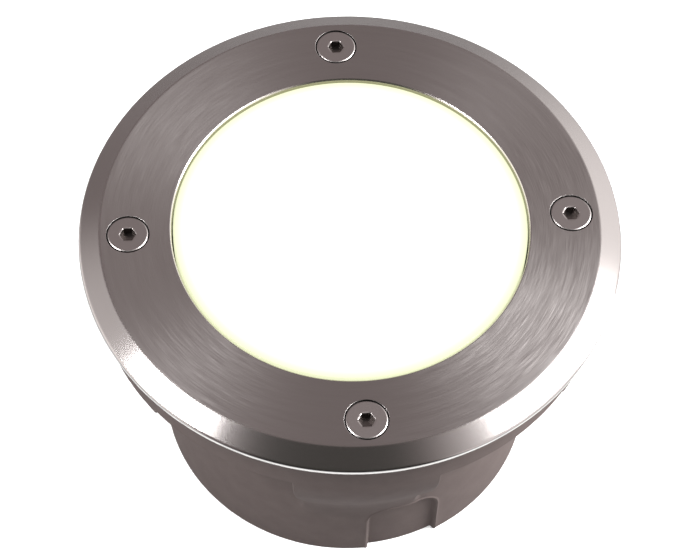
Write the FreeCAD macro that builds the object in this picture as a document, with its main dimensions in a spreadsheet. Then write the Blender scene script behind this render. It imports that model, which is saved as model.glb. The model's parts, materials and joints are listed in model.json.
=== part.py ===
import FreeCAD, Part
import Sketcher
import math
import os
from types import SimpleNamespace

# In-ground well light: a plastic pot that stays in the ground, a sealed lamp unit that
# hangs in it, and a brushed steel cover ring held by four countersunk screws.
# Frame: origin on the axis at the pot's lower edge, +Z up, screws on +X, +Y, -X and -Y.
# The photographed front is the -Y side. Lengths are millimetres, angles degrees.

SIZES = {
    # cover ring
    "window_radius": 49.3,
    "window_chamfer": 0.4,
    "cover_thickness": 4.5,
    "cover_overhang": 3.5,
    "bevel_width": 6.0,
    "bevel_drop": 3.1,
    "rim_chamfer": 0.3,
    # cover screws, countersunk with a hexagon socket
    "screw_radius": 2.95,
    "screw_length": 20.0,
    "screw_head_radius": 5.65,
    "screw_head_margin": 0.35,
    "screw_hole_clearance": 0.35,
    "socket_flats": 4.0,
    "socket_depth": 2.4,
    "thread_pitch": 1.0,
    "thread_depth": 0.5,
    "thread_start": 6.0,
    "screw_tip_clearance": 1.2,
    # screw inserts and retaining washers
    "insert_radius": 4.0,
    "insert_length": 10.0,
    "insert_clearance": 0.05,
    "washer_radius": 5.3,
    "washer_thickness": 1.2,
    "washer_clearance": 0.3,
    # pot
    "boss_wall": 1.8,
    "boss_half_angle": 6.5,
    "gusset_half_angle": 17.5,
    "gusset_height": 52.0,
    "shelf_thickness": 3.0,
    "collar_wall": 3.0,
    "side_step_depth": 1.4,
    "side_step_half_angle": 39.0,
    "tube_wall": 2.6,
    "arch_width": 21.0,
    "arch_height": 24.5,
    "arch_corner": 7.0,
    "arch_depth": 1.4,
    "arch_overrun": 2.0,
    "arch_azimuth": 13.7,
    # gaps between the pot, the lamp unit and the cover
    "seat_gap": 0.15,
    "cover_gap": 0.3,
    "neck_clearance": 0.6,
    "flange_clearance": 0.5,
    "cup_clearance": 1.2,
    "shelf_clearance": 0.1,
    # lamp housing
    "flange_margin": 6.8,
    "flange_thickness": 3.0,
    "neck_wall": 2.4,
    "neck_height": 8.4,
    "neck_taper": 3.5,
    "cup_wall": 2.8,
    "cup_floor": 3.0,
    "cup_corner": 3.0,
    "spreader_ledge": 2.0,
    "lug_radius": 3.5,
    "lug_inset": 2.0,
    "lug_height": 8.0,
    "lug_azimuth": 15.0,
    # lens stack
    "lens_gap": 0.4,
    "lens_lip": 2.7,
    "lens_rim_thickness": 4.1,
    "lens_recess": 0.5,
    "lens_chamfer": 0.5,
    "recess_gap": 0.4,
    "glass_ledge_width": 3.8,
    "lens_gasket_thickness": 1.0,
    "cover_gasket_thickness": 0.8,
    "gasket_width": 5.0,
    "diffuser_thickness": 2.0,
    "diffuser_clearance": 0.5,
    # reflector and light source
    "reflector_height": 17.4,
    "reflector_wall": 1.3,
    "reflector_margin": 1.8,
    "reflector_rim": 1.5,
    "board_gap": 0.85,
    "board_margin": 1.3,
    "board_thickness": 1.6,
    "thermal_pad_thickness": 0.5,
    "spreader_thickness": 2.5,
    "chip_width": 3.5,
    "chip_height": 0.7,
    "chip_first_ring": 8.0,
    "chip_margin": 6.4,
    "wire_hole_radius": 2.6,
    "wire_hole_x": 4.5,
    "plug_width": 6.0,
    "plug_length": 5.5,
    "plug_height": 4.0,
    "plug_gap": 2.6,
    "plug_wire_depth": 1.5,
    "small_screw_radius": 1.45,
    "small_head_radius": 2.75,
    "small_head_height": 1.7,
    "small_screw_length": 4.0,
    "small_slot_width": 0.7,
    "small_slot_depth": 0.8,
    "small_screw_clearance": 0.05,
    "small_tip_gap": 0.4,
    # driver
    "driver_height": 20.0,
    "driver_hole_gap": 6.7,
    "driver_length": 48.0,
    "driver_wall": 1.5,
    "driver_lid_thickness": 1.6,
    "driver_headroom": 4.5,
    "driver_wall_clearance": 1.5,
    "driver_board_rise": 3.0,
    "driver_board_clearance": 0.3,
    "driver_foot_radius": 1.5,
    "driver_foot_inset": 3.0,
    "ear_length": 8.0,
    "ear_width": 9.0,
    "ear_thickness": 2.0,
    "transformer_inset": 5.0,
    "transformer_width": 15.0,
    "transformer_length": 17.0,
    "transformer_height": 9.0,
    "capacitor_margin": 2.0,
    "capacitor_radius": 4.0,
    "capacitor_height": 10.0,
    # terminal block
    "terminal_pitch": 8.0,
    "terminal_wall": 1.0,
    "terminal_depth": 14.0,
    "terminal_height": 13.0,
    "terminal_rise": 4.0,
    "terminal_gap": 1.5,
    "terminal_pad_margin": 3.0,
    "clamp_radius": 2.4,
    "clamp_bore": 1.6,
    "clamp_inset": 1.0,
    "clamp_drop": 6.5,
    "clamp_screw_radius": 1.4,
    "clamp_screw_spacing": 6.0,
    "clamp_screw_sink": 1.0,
    "clamp_well_clearance": 0.3,
    "fixing_head_radius": 2.45,
    # earth connection
    "earth_x": 12.0,
    "earth_y": -32.0,
    "earth_post_radius": 4.5,
    "earth_post_height": 6.0,
    "lug_thickness": 0.9,
    "barrel_length": 7.0,
    "barrel_rise": 0.4,
    "barrel_clearance": 0.1,
    "barrel_overlap": 1.0,
    "crimp_margin": 1.5,
    # internal wires
    "mains_wire_radius": 1.1,
    "led_wire_radius": 0.8,
    "wire_entry": 4.0,
    "led_wire_spacing": 2.0,
    "wire_hole_clearance": 0.05,
    "live_entry": 12.6,
    "neutral_entry": 3.9,
    "mains_bend_share": 0.85,
    "earth_bend": 18.0,
    "led_low_bend": 5.0,
    "led_high_bend": 2.4,
    # cable gland
    "ground_clearance": 8.85,
    "gland_radius": 9.9,
    "gland_clearance": 0.1,
    "gland_bore": 6.6,
    "gland_stop_bore": 5.6,
    "gland_flats": 24.0,
    "gland_hex_height": 5.0,
    "gland_boss_radius": 15.0,
    "gland_boss_height": 2.0,
    "gland_washer_thickness": 1.6,
    "gland_washer_margin": 3.0,
    "gland_wall_gap": 8.8,
    "lower_thread_radius": 9.0,
    "lower_thread_length": 9.0,
    "lock_nut_height": 5.0,
    "stub_margin": 1.5,
    "dome_end": 3.1,
    "dome_gap": 0.4,
    "dome_bore": 6.2,
    "dome_flats": 22.0,
    "seal_bore": 4.2,
    "seal_wall_gap": 0.1,
}

SCREW_COUNT = 4
CHIPS_PER_RING = (4, 12, 18)
# degrees of skin for each radian of arch, a little more than the arch itself covers
ARCH_SKIN_SPREAD = 66
SHEET = "Sizes"

doc = FreeCAD.newDocument("WellLight")


def fill_sheet():
    """Write every driving size into the sheet as text, with its name as the alias."""
    sheet = doc.addObject("Spreadsheet::Sheet", SHEET)
    for row, (name, number) in enumerate(SIZES.items(), start=1):
        sheet.set(f"A{row}", name)
        sheet.set(f"B{row}", str(number))
        sheet.setAlias(f"B{row}", name)
    doc.recompute()
    return sheet


class Size:
    """A length that carries its number together with the sheet expression behind it."""

    def __init__(self, number, text):
        self.number = number
        self.text = text

    def joined(self, other, sign, number):
        return Size(number, f"({self.text} {sign} {sized(other).text})")

    def __add__(self, other):
        return self.joined(other, "+", self.number + sized(other).number)

    def __sub__(self, other):
        return self.joined(other, "-", self.number - sized(other).number)

    def __mul__(self, other):
        return self.joined(other, "*", self.number * sized(other).number)

    def __truediv__(self, other):
        return self.joined(other, "/", self.number / sized(other).number)

    def __radd__(self, other):
        return sized(other) + self

    def __rsub__(self, other):
        return sized(other) - self

    def __rmul__(self, other):
        return sized(other) * self

    def __neg__(self):
        return Size(-self.number, f"(-1 * {self.text})")


def sized(value):
    """Any plain number as a Size."""
    if isinstance(value, Size):
        return value
    return Size(float(value), f"{float(value):.12f}")


def root(value):
    return Size(math.sqrt(value.number), f"sqrt({value.text})")


def polar_point(radius, degrees):
    """Point at a radius and an angle; under a fixed angle, a coordinate that vanishes is a plain zero."""
    if isinstance(degrees, Size):
        angle = math.radians(degrees.number)
        cosine = Size(math.cos(angle), f"cos({degrees.text} * 1 deg)")
        sine = Size(math.sin(angle), f"sin({degrees.text} * 1 deg)")
        return radius * cosine, radius * sine
    angle = math.radians(degrees)
    factors = (round(math.cos(angle), 12), round(math.sin(angle), 12))
    return tuple(radius * factor if factor else 0 for factor in factors)


def square_points(radius, first=0):
    """Four points a quarter turn apart."""
    return [polar_point(radius, first + 90 * i) for i in range(4)]


def hexagon(flats, centre=(0, 0)):
    corner = flats / math.sqrt(3)
    return [(centre[0] + x, centre[1] + y) for x, y in (polar_point(corner, 60 * i) for i in range(6))]


def rectangle(left, right, low, high):
    return [(left, low), (right, low), (right, high), (left, high)]


# ---------------------------------------------------------------- objects and sketches

def new_body(name):
    body = doc.addObject("PartDesign::Body", name)
    body.Label = name
    return body


def origin_feature(body, role):
    for feature in body.Origin.OriginFeatures:
        if feature.Role == role:
            return feature
    raise ValueError(role)


def new_sketch(body, name, plane="XZ_Plane", offset=0, turn=0):
    """Empty sketch on an origin plane, moved along its normal and turned about its upright axis."""
    sketch = body.newObject("Sketcher::SketchObject", f"{body.Name}_{name}")
    sketch.AttachmentSupport = (origin_feature(body, plane), [""])
    sketch.MapMode = "FlatFace"
    upright = FreeCAD.Rotation(FreeCAD.Vector(0, 1, 0), 0)
    sketch.AttachmentOffset = FreeCAD.Placement(FreeCAD.Vector(), upright)
    if sized(turn).number:
        sketch.setExpression("AttachmentOffset.Rotation.Angle", sized(turn).text)
    if sized(offset).number:
        sketch.setExpression("AttachmentOffset.Base.z", sized(offset).text)
    return sketch


def bound(sketch, kind, number, text, *where):
    index = sketch.addConstraint(Sketcher.Constraint(kind, *where, number))
    sketch.setExpression(f"Constraints[{index}]", text)


def hold_point(sketch, edge, end, point):
    """Fix a point by its two distances from the sketch origin; a plain zero lies on the axis."""
    for kind, axis, value in (("DistanceX", -2, point[0]), ("DistanceY", -1, point[1])):
        size = sized(value)
        if not isinstance(value, Size) and size.number == 0:
            sketch.addConstraint(Sketcher.Constraint("PointOnObject", edge, end, axis))
        else:
            bound(sketch, kind, size.number, size.text, -1, 1, edge, end)


def vector(point):
    return FreeCAD.Vector(*(sized(value).number for value in point))


def draw_outline(sketch, points):
    """Closed outline of straight edges with every corner held."""
    first = sketch.GeometryCount
    count = len(points)
    for i, point in enumerate(points):
        edge = Part.LineSegment(vector((*point, 0)), vector((*points[(i + 1) % count], 0)))
        sketch.addGeometry(edge, False)
    for i, point in enumerate(points):
        sketch.addConstraint(Sketcher.Constraint("Coincident", first + i, 1, first + (i - 1) % count, 2))
        hold_point(sketch, first + i, 1, point)


def draw_circle(sketch, radius, centre=(0, 0)):
    radius = sized(radius)
    circle = Part.Circle(vector((*centre, 0)), FreeCAD.Vector(0, 0, 1), radius.number)
    edge = sketch.addGeometry(circle, False)
    bound(sketch, "Radius", radius.number, radius.text, edge)
    hold_point(sketch, edge, 3, centre)


def outline_sketch(body, name, outlines, circles=(), **where):
    sketch = new_sketch(body, name, **where)
    for points in outlines:
        draw_outline(sketch, points)
    for circle in circles:
        draw_circle(sketch, *circle)
    return sketch


def feature(body, kind, name, sketch, **sizes):
    """Sketch-based feature whose listed properties are bound to sizes."""
    made = body.newObject(f"PartDesign::{kind}", f"{body.Name}_{name}")
    made.Profile = sketch
    for key, value in sizes.items():
        if isinstance(value, Size):
            made.setExpression(key, value.text)
        else:
            setattr(made, key, value)
    return made


def turned(body, name, points, kind="Revolution", angle=360, turn=0):
    """Profile (radius, height) swung about the upright axis, evenly to both sides of its plane."""
    sketch = outline_sketch(body, f"{name}_profile", [points], turn=turn)
    made = feature(body, kind, name, sketch, Midplane=True)
    made.ReferenceAxis = (sketch, ["V_Axis"])
    if isinstance(angle, Size):
        made.setExpression("Angle", angle.text)
    else:
        made.Angle = angle
    return made


def around(body, name, originals, count):
    pattern = body.newObject("PartDesign::PolarPattern", f"{body.Name}_{name}")
    pattern.Originals = originals
    pattern.Axis = (origin_feature(body, "Z_Axis"), [""])
    pattern.Angle = 360
    pattern.Occurrences = count
    body.Tip = pattern
    return pattern


def raised(body, name, low, height, outlines=(), circles=()):
    """Upright prism from outlines and circles (radius, centre), starting at a level."""
    sketch = outline_sketch(body, f"{name}_outline", outlines, circles, plane="XY_Plane", offset=low)
    return feature(body, "Pad", name, sketch, Length=sized(height))


def sunk(body, name, top, depth, outlines=(), circles=()):
    """Pocket straight down from a level."""
    sketch = outline_sketch(body, f"{name}_outline", outlines, circles, plane="XY_Plane", offset=top)
    return feature(body, "Pocket", name, sketch, Length=sized(depth))


def place(body, x=0, y=0, z=0):
    for axis, value in zip("xyz", (x, y, z)):
        if isinstance(value, Size):
            body.setExpression(f"Placement.Base.{axis}", value.text)


def washer_ring(name, inner, outer, low, height):
    body = new_body(name)
    turned(body, "ring", rectangle(inner, outer, low, low + height))
    return body


# ---------------------------------------------------------------- derived levels and radii

fill_sheet()
s = SimpleNamespace(**{name: Size(number, f"{SHEET}.{name}") for name, number in SIZES.items()})


def levels():
    """Heights, stacked from the pot's lower edge upwards."""
    z = SimpleNamespace()
    z.dome_low = s.ground_clearance
    z.lower_thread = z.dome_low + s.dome_end + s.dome_gap
    z.hex_low = z.lower_thread + s.lower_thread_length
    z.washer_low = z.hex_low + s.gland_hex_height
    z.boss_low = z.washer_low + s.gland_washer_thickness
    z.cup_low = z.boss_low + s.gland_boss_height
    z.floor = z.cup_low + s.cup_floor
    z.spreader = z.floor + s.driver_height + s.driver_headroom
    z.pad = z.spreader + s.spreader_thickness
    z.board = z.pad + s.thermal_pad_thickness
    z.board_top = z.board + s.board_thickness
    z.diffuser = z.board_top + s.reflector_height
    z.ledge = z.diffuser + s.diffuser_thickness
    z.lens = z.ledge + s.lens_gasket_thickness
    z.lens_rim = z.lens + s.lens_rim_thickness
    z.lamp_top = z.lens_rim + s.cover_gasket_thickness
    z.cover = z.lamp_top + s.seat_gap
    z.top = z.cover + s.cover_thickness
    z.lens_top = z.top - s.lens_recess
    z.flange = z.lamp_top - s.flange_thickness
    z.boss_top = z.flange - s.seat_gap
    z.pot_top = z.cover - s.cover_gap
    z.neck_low = z.lamp_top - s.neck_height
    z.taper_low = z.neck_low - s.neck_taper
    z.shelf_top = z.taper_low - s.shelf_clearance
    z.shelf_low = z.shelf_top - s.shelf_thickness
    z.screw_tip = z.top - s.screw_length
    return z


def radii():
    """Radii, stacked from the lens window outwards and from the glass ledge inwards."""
    r = SimpleNamespace()
    r.lens = s.window_radius - s.lens_gap
    r.lens_rim = s.window_radius + s.lens_lip
    r.recess = r.lens_rim + s.recess_gap
    r.neck = r.recess + s.neck_wall
    r.screws = r.neck + s.neck_clearance + s.boss_wall + s.insert_radius
    r.flange = r.screws + s.flange_margin
    r.collar_bore = r.flange + s.flange_clearance
    r.collar = r.collar_bore + s.collar_wall
    r.cover = r.collar + s.cover_overhang
    r.cover_flat = r.cover - s.bevel_width
    r.cup_bore = r.recess - s.glass_ledge_width
    r.cup = r.cup_bore + s.cup_wall
    r.wiring_bore = r.cup_bore - s.spreader_ledge
    r.cup_low = r.wiring_bore + s.cup_wall
    r.tube_bore = r.cup + s.cup_clearance
    r.tube = r.tube_bore + s.tube_wall
    r.countersink = s.screw_head_radius + s.screw_head_margin
    r.screw_hole = s.screw_radius + s.screw_hole_clearance
    r.insert_bore = s.screw_radius + s.insert_clearance
    r.lugs = r.wiring_bore - s.lug_inset
    r.board = r.lugs - s.small_head_radius - s.board_gap
    r.reflector_base = r.board - s.board_margin - s.reflector_wall
    r.chip_pitch = (r.reflector_base - s.chip_margin - s.chip_first_ring) / (len(CHIPS_PER_RING) - 1)
    r.board_screws = s.chip_first_ring + 1.5 * r.chip_pitch
    r.wire_hole = s.chip_first_ring + 0.5 * r.chip_pitch
    r.gland_hole = s.gland_radius + s.gland_clearance
    r.gland_corner = s.gland_flats / math.sqrt(3)
    r.tapped = s.small_screw_radius + s.small_screw_clearance
    return r


z = levels()
r = radii()


def wiring_places():
    """Where the driver, the terminal block, the gland and the wire hole stand on the cup's floor."""
    p = SimpleNamespace()
    reach = r.wiring_bore - s.driver_wall_clearance
    p.hole_x = s.wire_hole_x
    p.hole_y = -root(r.wire_hole * r.wire_hole - p.hole_x * p.hole_x)
    p.driver_left = -root(reach * reach - s.driver_length * s.driver_length / 4)
    p.driver_right = p.hole_x - s.driver_hole_gap
    p.driver_mid = (p.driver_left + p.driver_right) / 2
    p.gland = r.wiring_bore - s.gland_wall_gap - r.gland_corner
    p.block_left = p.driver_right + s.terminal_gap
    p.block_right = p.block_left + 3 * s.terminal_pitch + 2 * s.terminal_wall
    p.block_back = root(reach * reach - p.block_right * p.block_right)
    p.block_front = p.block_back - s.terminal_depth
    p.poles = [p.block_left + s.terminal_wall + s.terminal_pitch * (i + 0.5) for i in range(3)]
    p.block_low = z.floor + s.terminal_rise
    p.pole_height = p.block_low + s.clamp_drop
    return p


p = wiring_places()


# ---------------------------------------------------------------- pot

def mounting_pot():
    """Open-bottomed tube with a stepped collar, four screw bosses on gussets and two knock-outs."""
    body = new_body("mounting_pot")
    turned(body, "shell", [
        (r.tube_bore, 0),
        (r.tube, 0),
        (r.tube, z.shelf_low),
        (r.collar, z.shelf_low),
        (r.collar, z.pot_top),
        (r.collar_bore, z.pot_top),
        (r.collar_bore, z.shelf_top),
        (r.tube_bore, z.shelf_top),
    ])
    sketch = new_sketch(body, "gusset_outline")
    gusset_outline(sketch)
    gusset = feature(body, "Revolution", "gusset", sketch, Midplane=True, Angle=2 * s.gusset_half_angle)
    gusset.ReferenceAxis = (sketch, ["V_Axis"])
    boss = turned(body, "boss", rectangle(
        r.neck + s.neck_clearance, r.collar_bore + s.collar_wall / 2, z.shelf_low, z.boss_top,
    ), angle=2 * s.boss_half_angle)
    around(body, "gussets", [gusset, boss], SCREW_COUNT)
    step = turned(body, "side_step", rectangle(
        r.collar_bore, r.collar, z.shelf_low - s.side_step_depth, z.shelf_top,
    ), angle=2 * s.side_step_half_angle)
    around(body, "side_steps", [step], 2)
    hole_depth = z.boss_top - z.screw_tip + s.screw_tip_clearance
    places = square_points(r.screws)
    sunk(body, "screw_holes", z.boss_top, hole_depth, circles=[(r.screw_hole, at) for at in places])
    sunk(body, "insert_seats", z.boss_top, s.insert_length, circles=[(s.insert_radius, at) for at in places])
    cut_arches(body)
    return body


def gusset_outline(sketch):
    """Upright section of a gusset: two equal tangent arcs lead from the collar's face to the tube's."""
    root_radius = r.tube - s.tube_wall / 2
    low = z.shelf_low - s.gusset_height
    reach = r.collar - r.tube
    bend = (s.gusset_height * s.gusset_height + reach * reach) / (4 * reach)
    middle = ((r.collar + r.tube) / 2, z.shelf_low - s.gusset_height / 2)
    turn = math.asin(s.gusset_height.number / (2 * bend.number))
    arcs = [
        ((r.collar - bend, z.shelf_low), -turn, 0, middle, (r.collar, z.shelf_low)),
        ((r.tube + bend, low), math.pi - turn, math.pi, middle, (r.tube, low)),
    ]
    for edge, (centre, first, last, start, end) in enumerate(arcs):
        circle = Part.Circle(vector((*centre, 0)), FreeCAD.Vector(0, 0, 1), bend.number)
        sketch.addGeometry(Part.ArcOfCircle(circle, first, last), False)
        hold_point(sketch, edge, 1, start)
        hold_point(sketch, edge, 2, end)
        bound(sketch, "Radius", bend.number, bend.text, edge)
    corners = [(r.tube, low), (root_radius, low), (root_radius, z.shelf_top), (r.collar, z.shelf_top),
               (r.collar, z.shelf_low)]
    for start, end in zip(corners, corners[1:]):
        edge = sketch.addGeometry(Part.LineSegment(vector((*start, 0)), vector((*end, 0))), False)
        hold_point(sketch, edge, 1, start)
        hold_point(sketch, edge, 2, end)


def arch_outline(sketch):
    """Arch with rounded shoulders that runs out below the tube's lower edge."""
    half = s.arch_width / 2
    shoulder = s.arch_height - s.arch_corner
    flat = half - s.arch_corner
    low = -s.arch_overrun
    lines = [
        ((-half, low), (half, low)),
        ((half, low), (half, shoulder)),
        ((flat, s.arch_height), (-flat, s.arch_height)),
        ((-half, shoulder), (-half, low)),
    ]
    for start, end in lines:
        sketch.addGeometry(Part.LineSegment(vector((*start, 0)), vector((*end, 0))), False)
    for side, first in ((flat, 0), (-flat, math.pi / 2)):
        circle = Part.Circle(vector((side, shoulder, 0)), FreeCAD.Vector(0, 0, 1), s.arch_corner.number)
        edge = sketch.addGeometry(Part.ArcOfCircle(circle, first, first + math.pi / 2), False)
        bound(sketch, "Radius", s.arch_corner.number, s.arch_corner.text, edge)
    for join in ((1, 2, 4, 1), (4, 2, 2, 1), (2, 2, 5, 1), (5, 2, 3, 1)):
        sketch.addConstraint(Sketcher.Constraint("Tangent", *join))
    for join in ((0, 2, 1, 1), (3, 2, 0, 1)):
        sketch.addConstraint(Sketcher.Constraint("Coincident", *join))
    hold_point(sketch, 0, 1, (-half, low))
    hold_point(sketch, 0, 2, (half, low))
    sketch.addConstraint(Sketcher.Constraint("Vertical", 1))
    sketch.addConstraint(Sketcher.Constraint("Vertical", 3))
    sketch.addConstraint(Sketcher.Constraint("Horizontal", 2))
    bound(sketch, "DistanceY", s.arch_height.number, s.arch_height.text, -1, 1, 2, 1)


def cut_arches(body):
    """Two opposite knock-outs: the arch goes right through, then a thinner skin closes it."""
    sketch = new_sketch(body, "arch_outline", turn=s.arch_azimuth)
    arch_outline(sketch)
    feature(body, "Pocket", "arch", sketch, Type="ThroughAll", Midplane=True)
    skin_angle = s.arch_width / r.tube * ARCH_SKIN_SPREAD
    skin = turned(body, "arch_skin", rectangle(
        r.tube_bore, r.tube - s.arch_depth, 0, s.arch_height + s.arch_depth,
    ), angle=skin_angle, turn=s.arch_azimuth + 90)
    around(body, "arch_skins", [skin], 2)


def pot_inserts():
    """Four brass threaded inserts pressed into the bosses, flush with their tops."""
    body = new_body("pot_inserts")
    places = square_points(r.screws)
    rings = [(radius, at) for at in places for radius in (s.insert_radius, r.insert_bore)]
    raised(body, "barrels", z.boss_top - s.insert_length, s.insert_length, circles=rings)
    return body


# ---------------------------------------------------------------- lamp housing and lens stack

def lamp_housing():
    """Cast aluminium cup with a wide flange, the lens recess and a boss for the cable gland."""
    body = new_body("lamp_housing")
    turned(body, "cup", [
        (0, z.cup_low),
        (r.cup_low - s.cup_corner, z.cup_low),
        (r.cup_low, z.cup_low + s.cup_corner),
        (r.cup, z.taper_low),
        (r.neck, z.neck_low),
        (r.neck, z.flange),
        (r.flange, z.flange),
        (r.flange, z.lamp_top),
        (r.recess, z.lamp_top),
        (r.recess, z.ledge),
        (r.cup_bore, z.ledge),
        (r.cup_bore, z.spreader),
        (r.wiring_bore, z.spreader),
        (r.wiring_bore, z.floor),
        (0, z.floor),
    ])
    lugs = square_points(r.lugs, s.lug_azimuth)
    raised(body, "spreader_lugs", z.spreader - s.lug_height, s.lug_height,
           circles=[(s.lug_radius, at) for at in lugs])
    raised(body, "gland_boss", z.boss_low, s.gland_boss_height + s.cup_floor / 2,
           circles=[(s.gland_boss_radius, (p.gland, 0))])
    sunk(body, "gland_hole", z.floor, s.cup_floor + s.gland_boss_height,
         circles=[(r.gland_hole, (p.gland, 0))])
    ears = [(p.driver_mid, side * ear_centre()) for side in (-1, 1)]
    margin = s.terminal_pad_margin
    raised(body, "terminal_pad", z.floor - s.cup_floor / 2, s.terminal_rise + s.cup_floor / 2,
           outlines=[rectangle(p.block_left + margin, p.block_right - margin,
                               p.block_front + margin, p.block_back - margin)])
    raised(body, "earth_post", z.floor - s.cup_floor / 2, s.earth_post_height + s.cup_floor / 2,
           circles=[(s.earth_post_radius, (s.earth_x, s.earth_y))])
    places = square_points(r.screws)
    sunk(body, "screw_holes", z.lamp_top, s.flange_thickness, circles=[(r.screw_hole, at) for at in places])
    sunk(body, "washer_seats", z.lamp_top, s.washer_thickness + s.washer_clearance - s.seat_gap,
         circles=[(s.washer_radius + s.washer_clearance, at) for at in places])
    sunk(body, "lug_threads", z.spreader, s.small_screw_length, circles=[(r.tapped, at) for at in lugs])
    sunk(body, "ear_threads", z.floor, s.cup_floor / 2, circles=[(r.tapped, at) for at in ears])
    sunk(body, "terminal_thread", p.block_low, s.terminal_rise, circles=[(r.tapped, block_screw())])
    sunk(body, "earth_thread", z.floor + s.earth_post_height, s.earth_post_height,
         circles=[(r.tapped, (s.earth_x, s.earth_y))])
    return body


def lens_gasket():
    return washer_ring("lens_gasket", r.lens_rim - s.gasket_width, r.lens_rim,
                       z.ledge, s.lens_gasket_thickness)


def glass_lens():
    """Thick frosted glass with a stepped rim that the cover ring holds down."""
    body = new_body("glass_lens")
    turned(body, "glass", [
        (0, z.lens),
        (r.lens_rim, z.lens),
        (r.lens_rim, z.lens_rim),
        (r.lens, z.lens_rim),
        (r.lens, z.lens_top - s.lens_chamfer),
        (r.lens - s.lens_chamfer, z.lens_top),
        (0, z.lens_top),
    ])
    return body


def cover_gasket():
    return washer_ring("cover_gasket", r.lens, r.lens_rim, z.lens_rim, s.cover_gasket_thickness)


def diffuser_plate():
    body = new_body("diffuser_plate")
    turned(body, "plate", rectangle(0, r.cup_bore - s.diffuser_clearance, z.diffuser, z.ledge))
    return body


def reflector():
    """White cone from the light board up to the diffuser, with a foot and a stiff rim."""
    body = new_body("reflector")
    mouth = r.cup_bore - s.reflector_margin
    base = r.reflector_base
    rim = mouth + s.reflector_wall
    turned(body, "cone", [
        (base, z.board_top),
        (base + s.reflector_wall, z.board_top),
        (rim, z.diffuser - s.reflector_rim),
        (rim, z.diffuser),
        (mouth, z.diffuser),
    ])
    return body


# ---------------------------------------------------------------- light source

def heat_spreader():
    """Aluminium disc on the cup's inner ledge."""
    body = new_body("heat_spreader")
    turned(body, "disc", rectangle(0, r.cup_bore - s.diffuser_clearance, z.spreader, z.pad))
    lugs = square_points(r.lugs, s.lug_azimuth)
    taps = square_points(r.board_screws, 45)
    circles = [(r.tapped, at) for at in lugs + taps] + [(s.wire_hole_radius, (p.hole_x, p.hole_y))]
    sunk(body, "holes", z.pad, s.spreader_thickness, circles=circles)
    return body


def board_disc(name, low, thickness):
    body = new_body(name)
    turned(body, "disc", rectangle(0, r.board, low, low + thickness))
    taps = square_points(r.board_screws, 45)
    circles = [(r.tapped, at) for at in taps] + [(s.wire_hole_radius, (p.hole_x, p.hole_y))]
    sunk(body, "holes", low + thickness, thickness, circles=circles)
    return body


def led_chips():
    """Rings of square light-emitting chips on the board."""
    body = new_body("led_chips")
    half = s.chip_width / 2
    for ring, count in enumerate(CHIPS_PER_RING, start=1):
        radius = s.chip_first_ring + (ring - 1) * r.chip_pitch
        x, y = polar_point(radius, 45 if ring == 1 else 0)
        outline = rectangle(x - half, x + half, y - half, y + half)
        chip = raised(body, f"chip_{ring}", z.board_top, s.chip_height, outlines=[outline])
        around(body, f"ring_{ring}", [chip], count)
    return body


def led_plug():
    """Two-pole plug on the board, its wire entries facing the wire hole."""
    body = new_body("led_plug")
    right = p.hole_x - s.plug_gap
    half = s.plug_width / 2
    raised(body, "block", z.board_top, s.plug_height,
           outlines=[rectangle(right - s.plug_length, right, p.hole_y - half, p.hole_y + half)])
    bore = s.led_wire_radius + s.wire_hole_clearance
    bores = [(bore, (y, plug_wire_height())) for y in led_entries()]
    entry = outline_sketch(body, "entries", [], bores, plane="YZ_Plane", offset=right)
    feature(body, "Pocket", "entry", entry, Length=s.plug_length / 2)
    return body


def plug_wire_height():
    return z.board_top + s.plug_height / 2


def screw_group(name, places, seat, length, radius=None, head=None):
    """Identical slotted pan-head screws: shank down from the seat, head above it."""
    body = new_body(name)
    radius = radius or s.small_screw_radius
    head = head or s.small_head_radius
    raised(body, "shanks", seat - length, length, circles=[(radius, at) for at in places])
    raised(body, "heads", seat, s.small_head_height, circles=[(head, at) for at in places])
    half = s.small_slot_width / 2
    slots = [rectangle(x - head, x + head, y - half, y + half) for x, y in places]
    sunk(body, "slots", seat + s.small_head_height, s.small_slot_depth, outlines=slots)
    return body


def spreader_screws():
    lugs = square_points(r.lugs, s.lug_azimuth)
    return screw_group("spreader_screws", lugs, z.pad,
                       s.spreader_thickness + s.small_screw_length - s.small_tip_gap)


def board_screws():
    taps = square_points(r.board_screws, 45)
    depth = s.board_thickness + s.thermal_pad_thickness + s.spreader_thickness - s.small_tip_gap
    return screw_group("board_screws", taps, z.board_top, depth)


# ---------------------------------------------------------------- driver

def ear_centre():
    return s.driver_length / 2 + s.ear_length / 2


def driver_case():
    """Open-topped plastic tray with two screw ears and the holes for its four wires."""
    body = new_body("driver_case")
    half = s.driver_length / 2
    inner = half - s.driver_wall
    depth = s.driver_height - s.driver_lid_thickness
    raised(body, "tray", z.floor, depth,
           outlines=[rectangle(p.driver_left, p.driver_right, -half, half)])
    raised(body, "ears", z.floor, s.ear_thickness, outlines=[rectangle(
        p.driver_mid - s.ear_width / 2, p.driver_mid + s.ear_width / 2,
        -half - s.ear_length, half + s.ear_length)])
    sunk(body, "hollow", z.floor + depth, depth - s.driver_wall, outlines=[rectangle(
        p.driver_left + s.driver_wall, p.driver_right - s.driver_wall, -inner, inner)])
    sunk(body, "ear_holes", z.floor + s.ear_thickness, s.ear_thickness,
         circles=[(r.tapped, (p.driver_mid, side * ear_centre())) for side in (-1, 1)])
    mains_bore = s.mains_wire_radius + s.wire_hole_clearance
    led_bore = s.led_wire_radius + s.wire_hole_clearance
    circles = [(mains_bore, (y, p.pole_height)) for y in (s.live_entry, s.neutral_entry)]
    circles += [(led_bore, (y, p.pole_height)) for y in led_entries()]
    entries = outline_sketch(body, "wire_entries", [], circles, plane="YZ_Plane", offset=p.driver_right)
    feature(body, "Pocket", "wire_holes", entries, Length=s.driver_wall)
    return body


def led_entries():
    return [p.hole_y + side * s.led_wire_spacing / 2 for side in (1, -1)]


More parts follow.
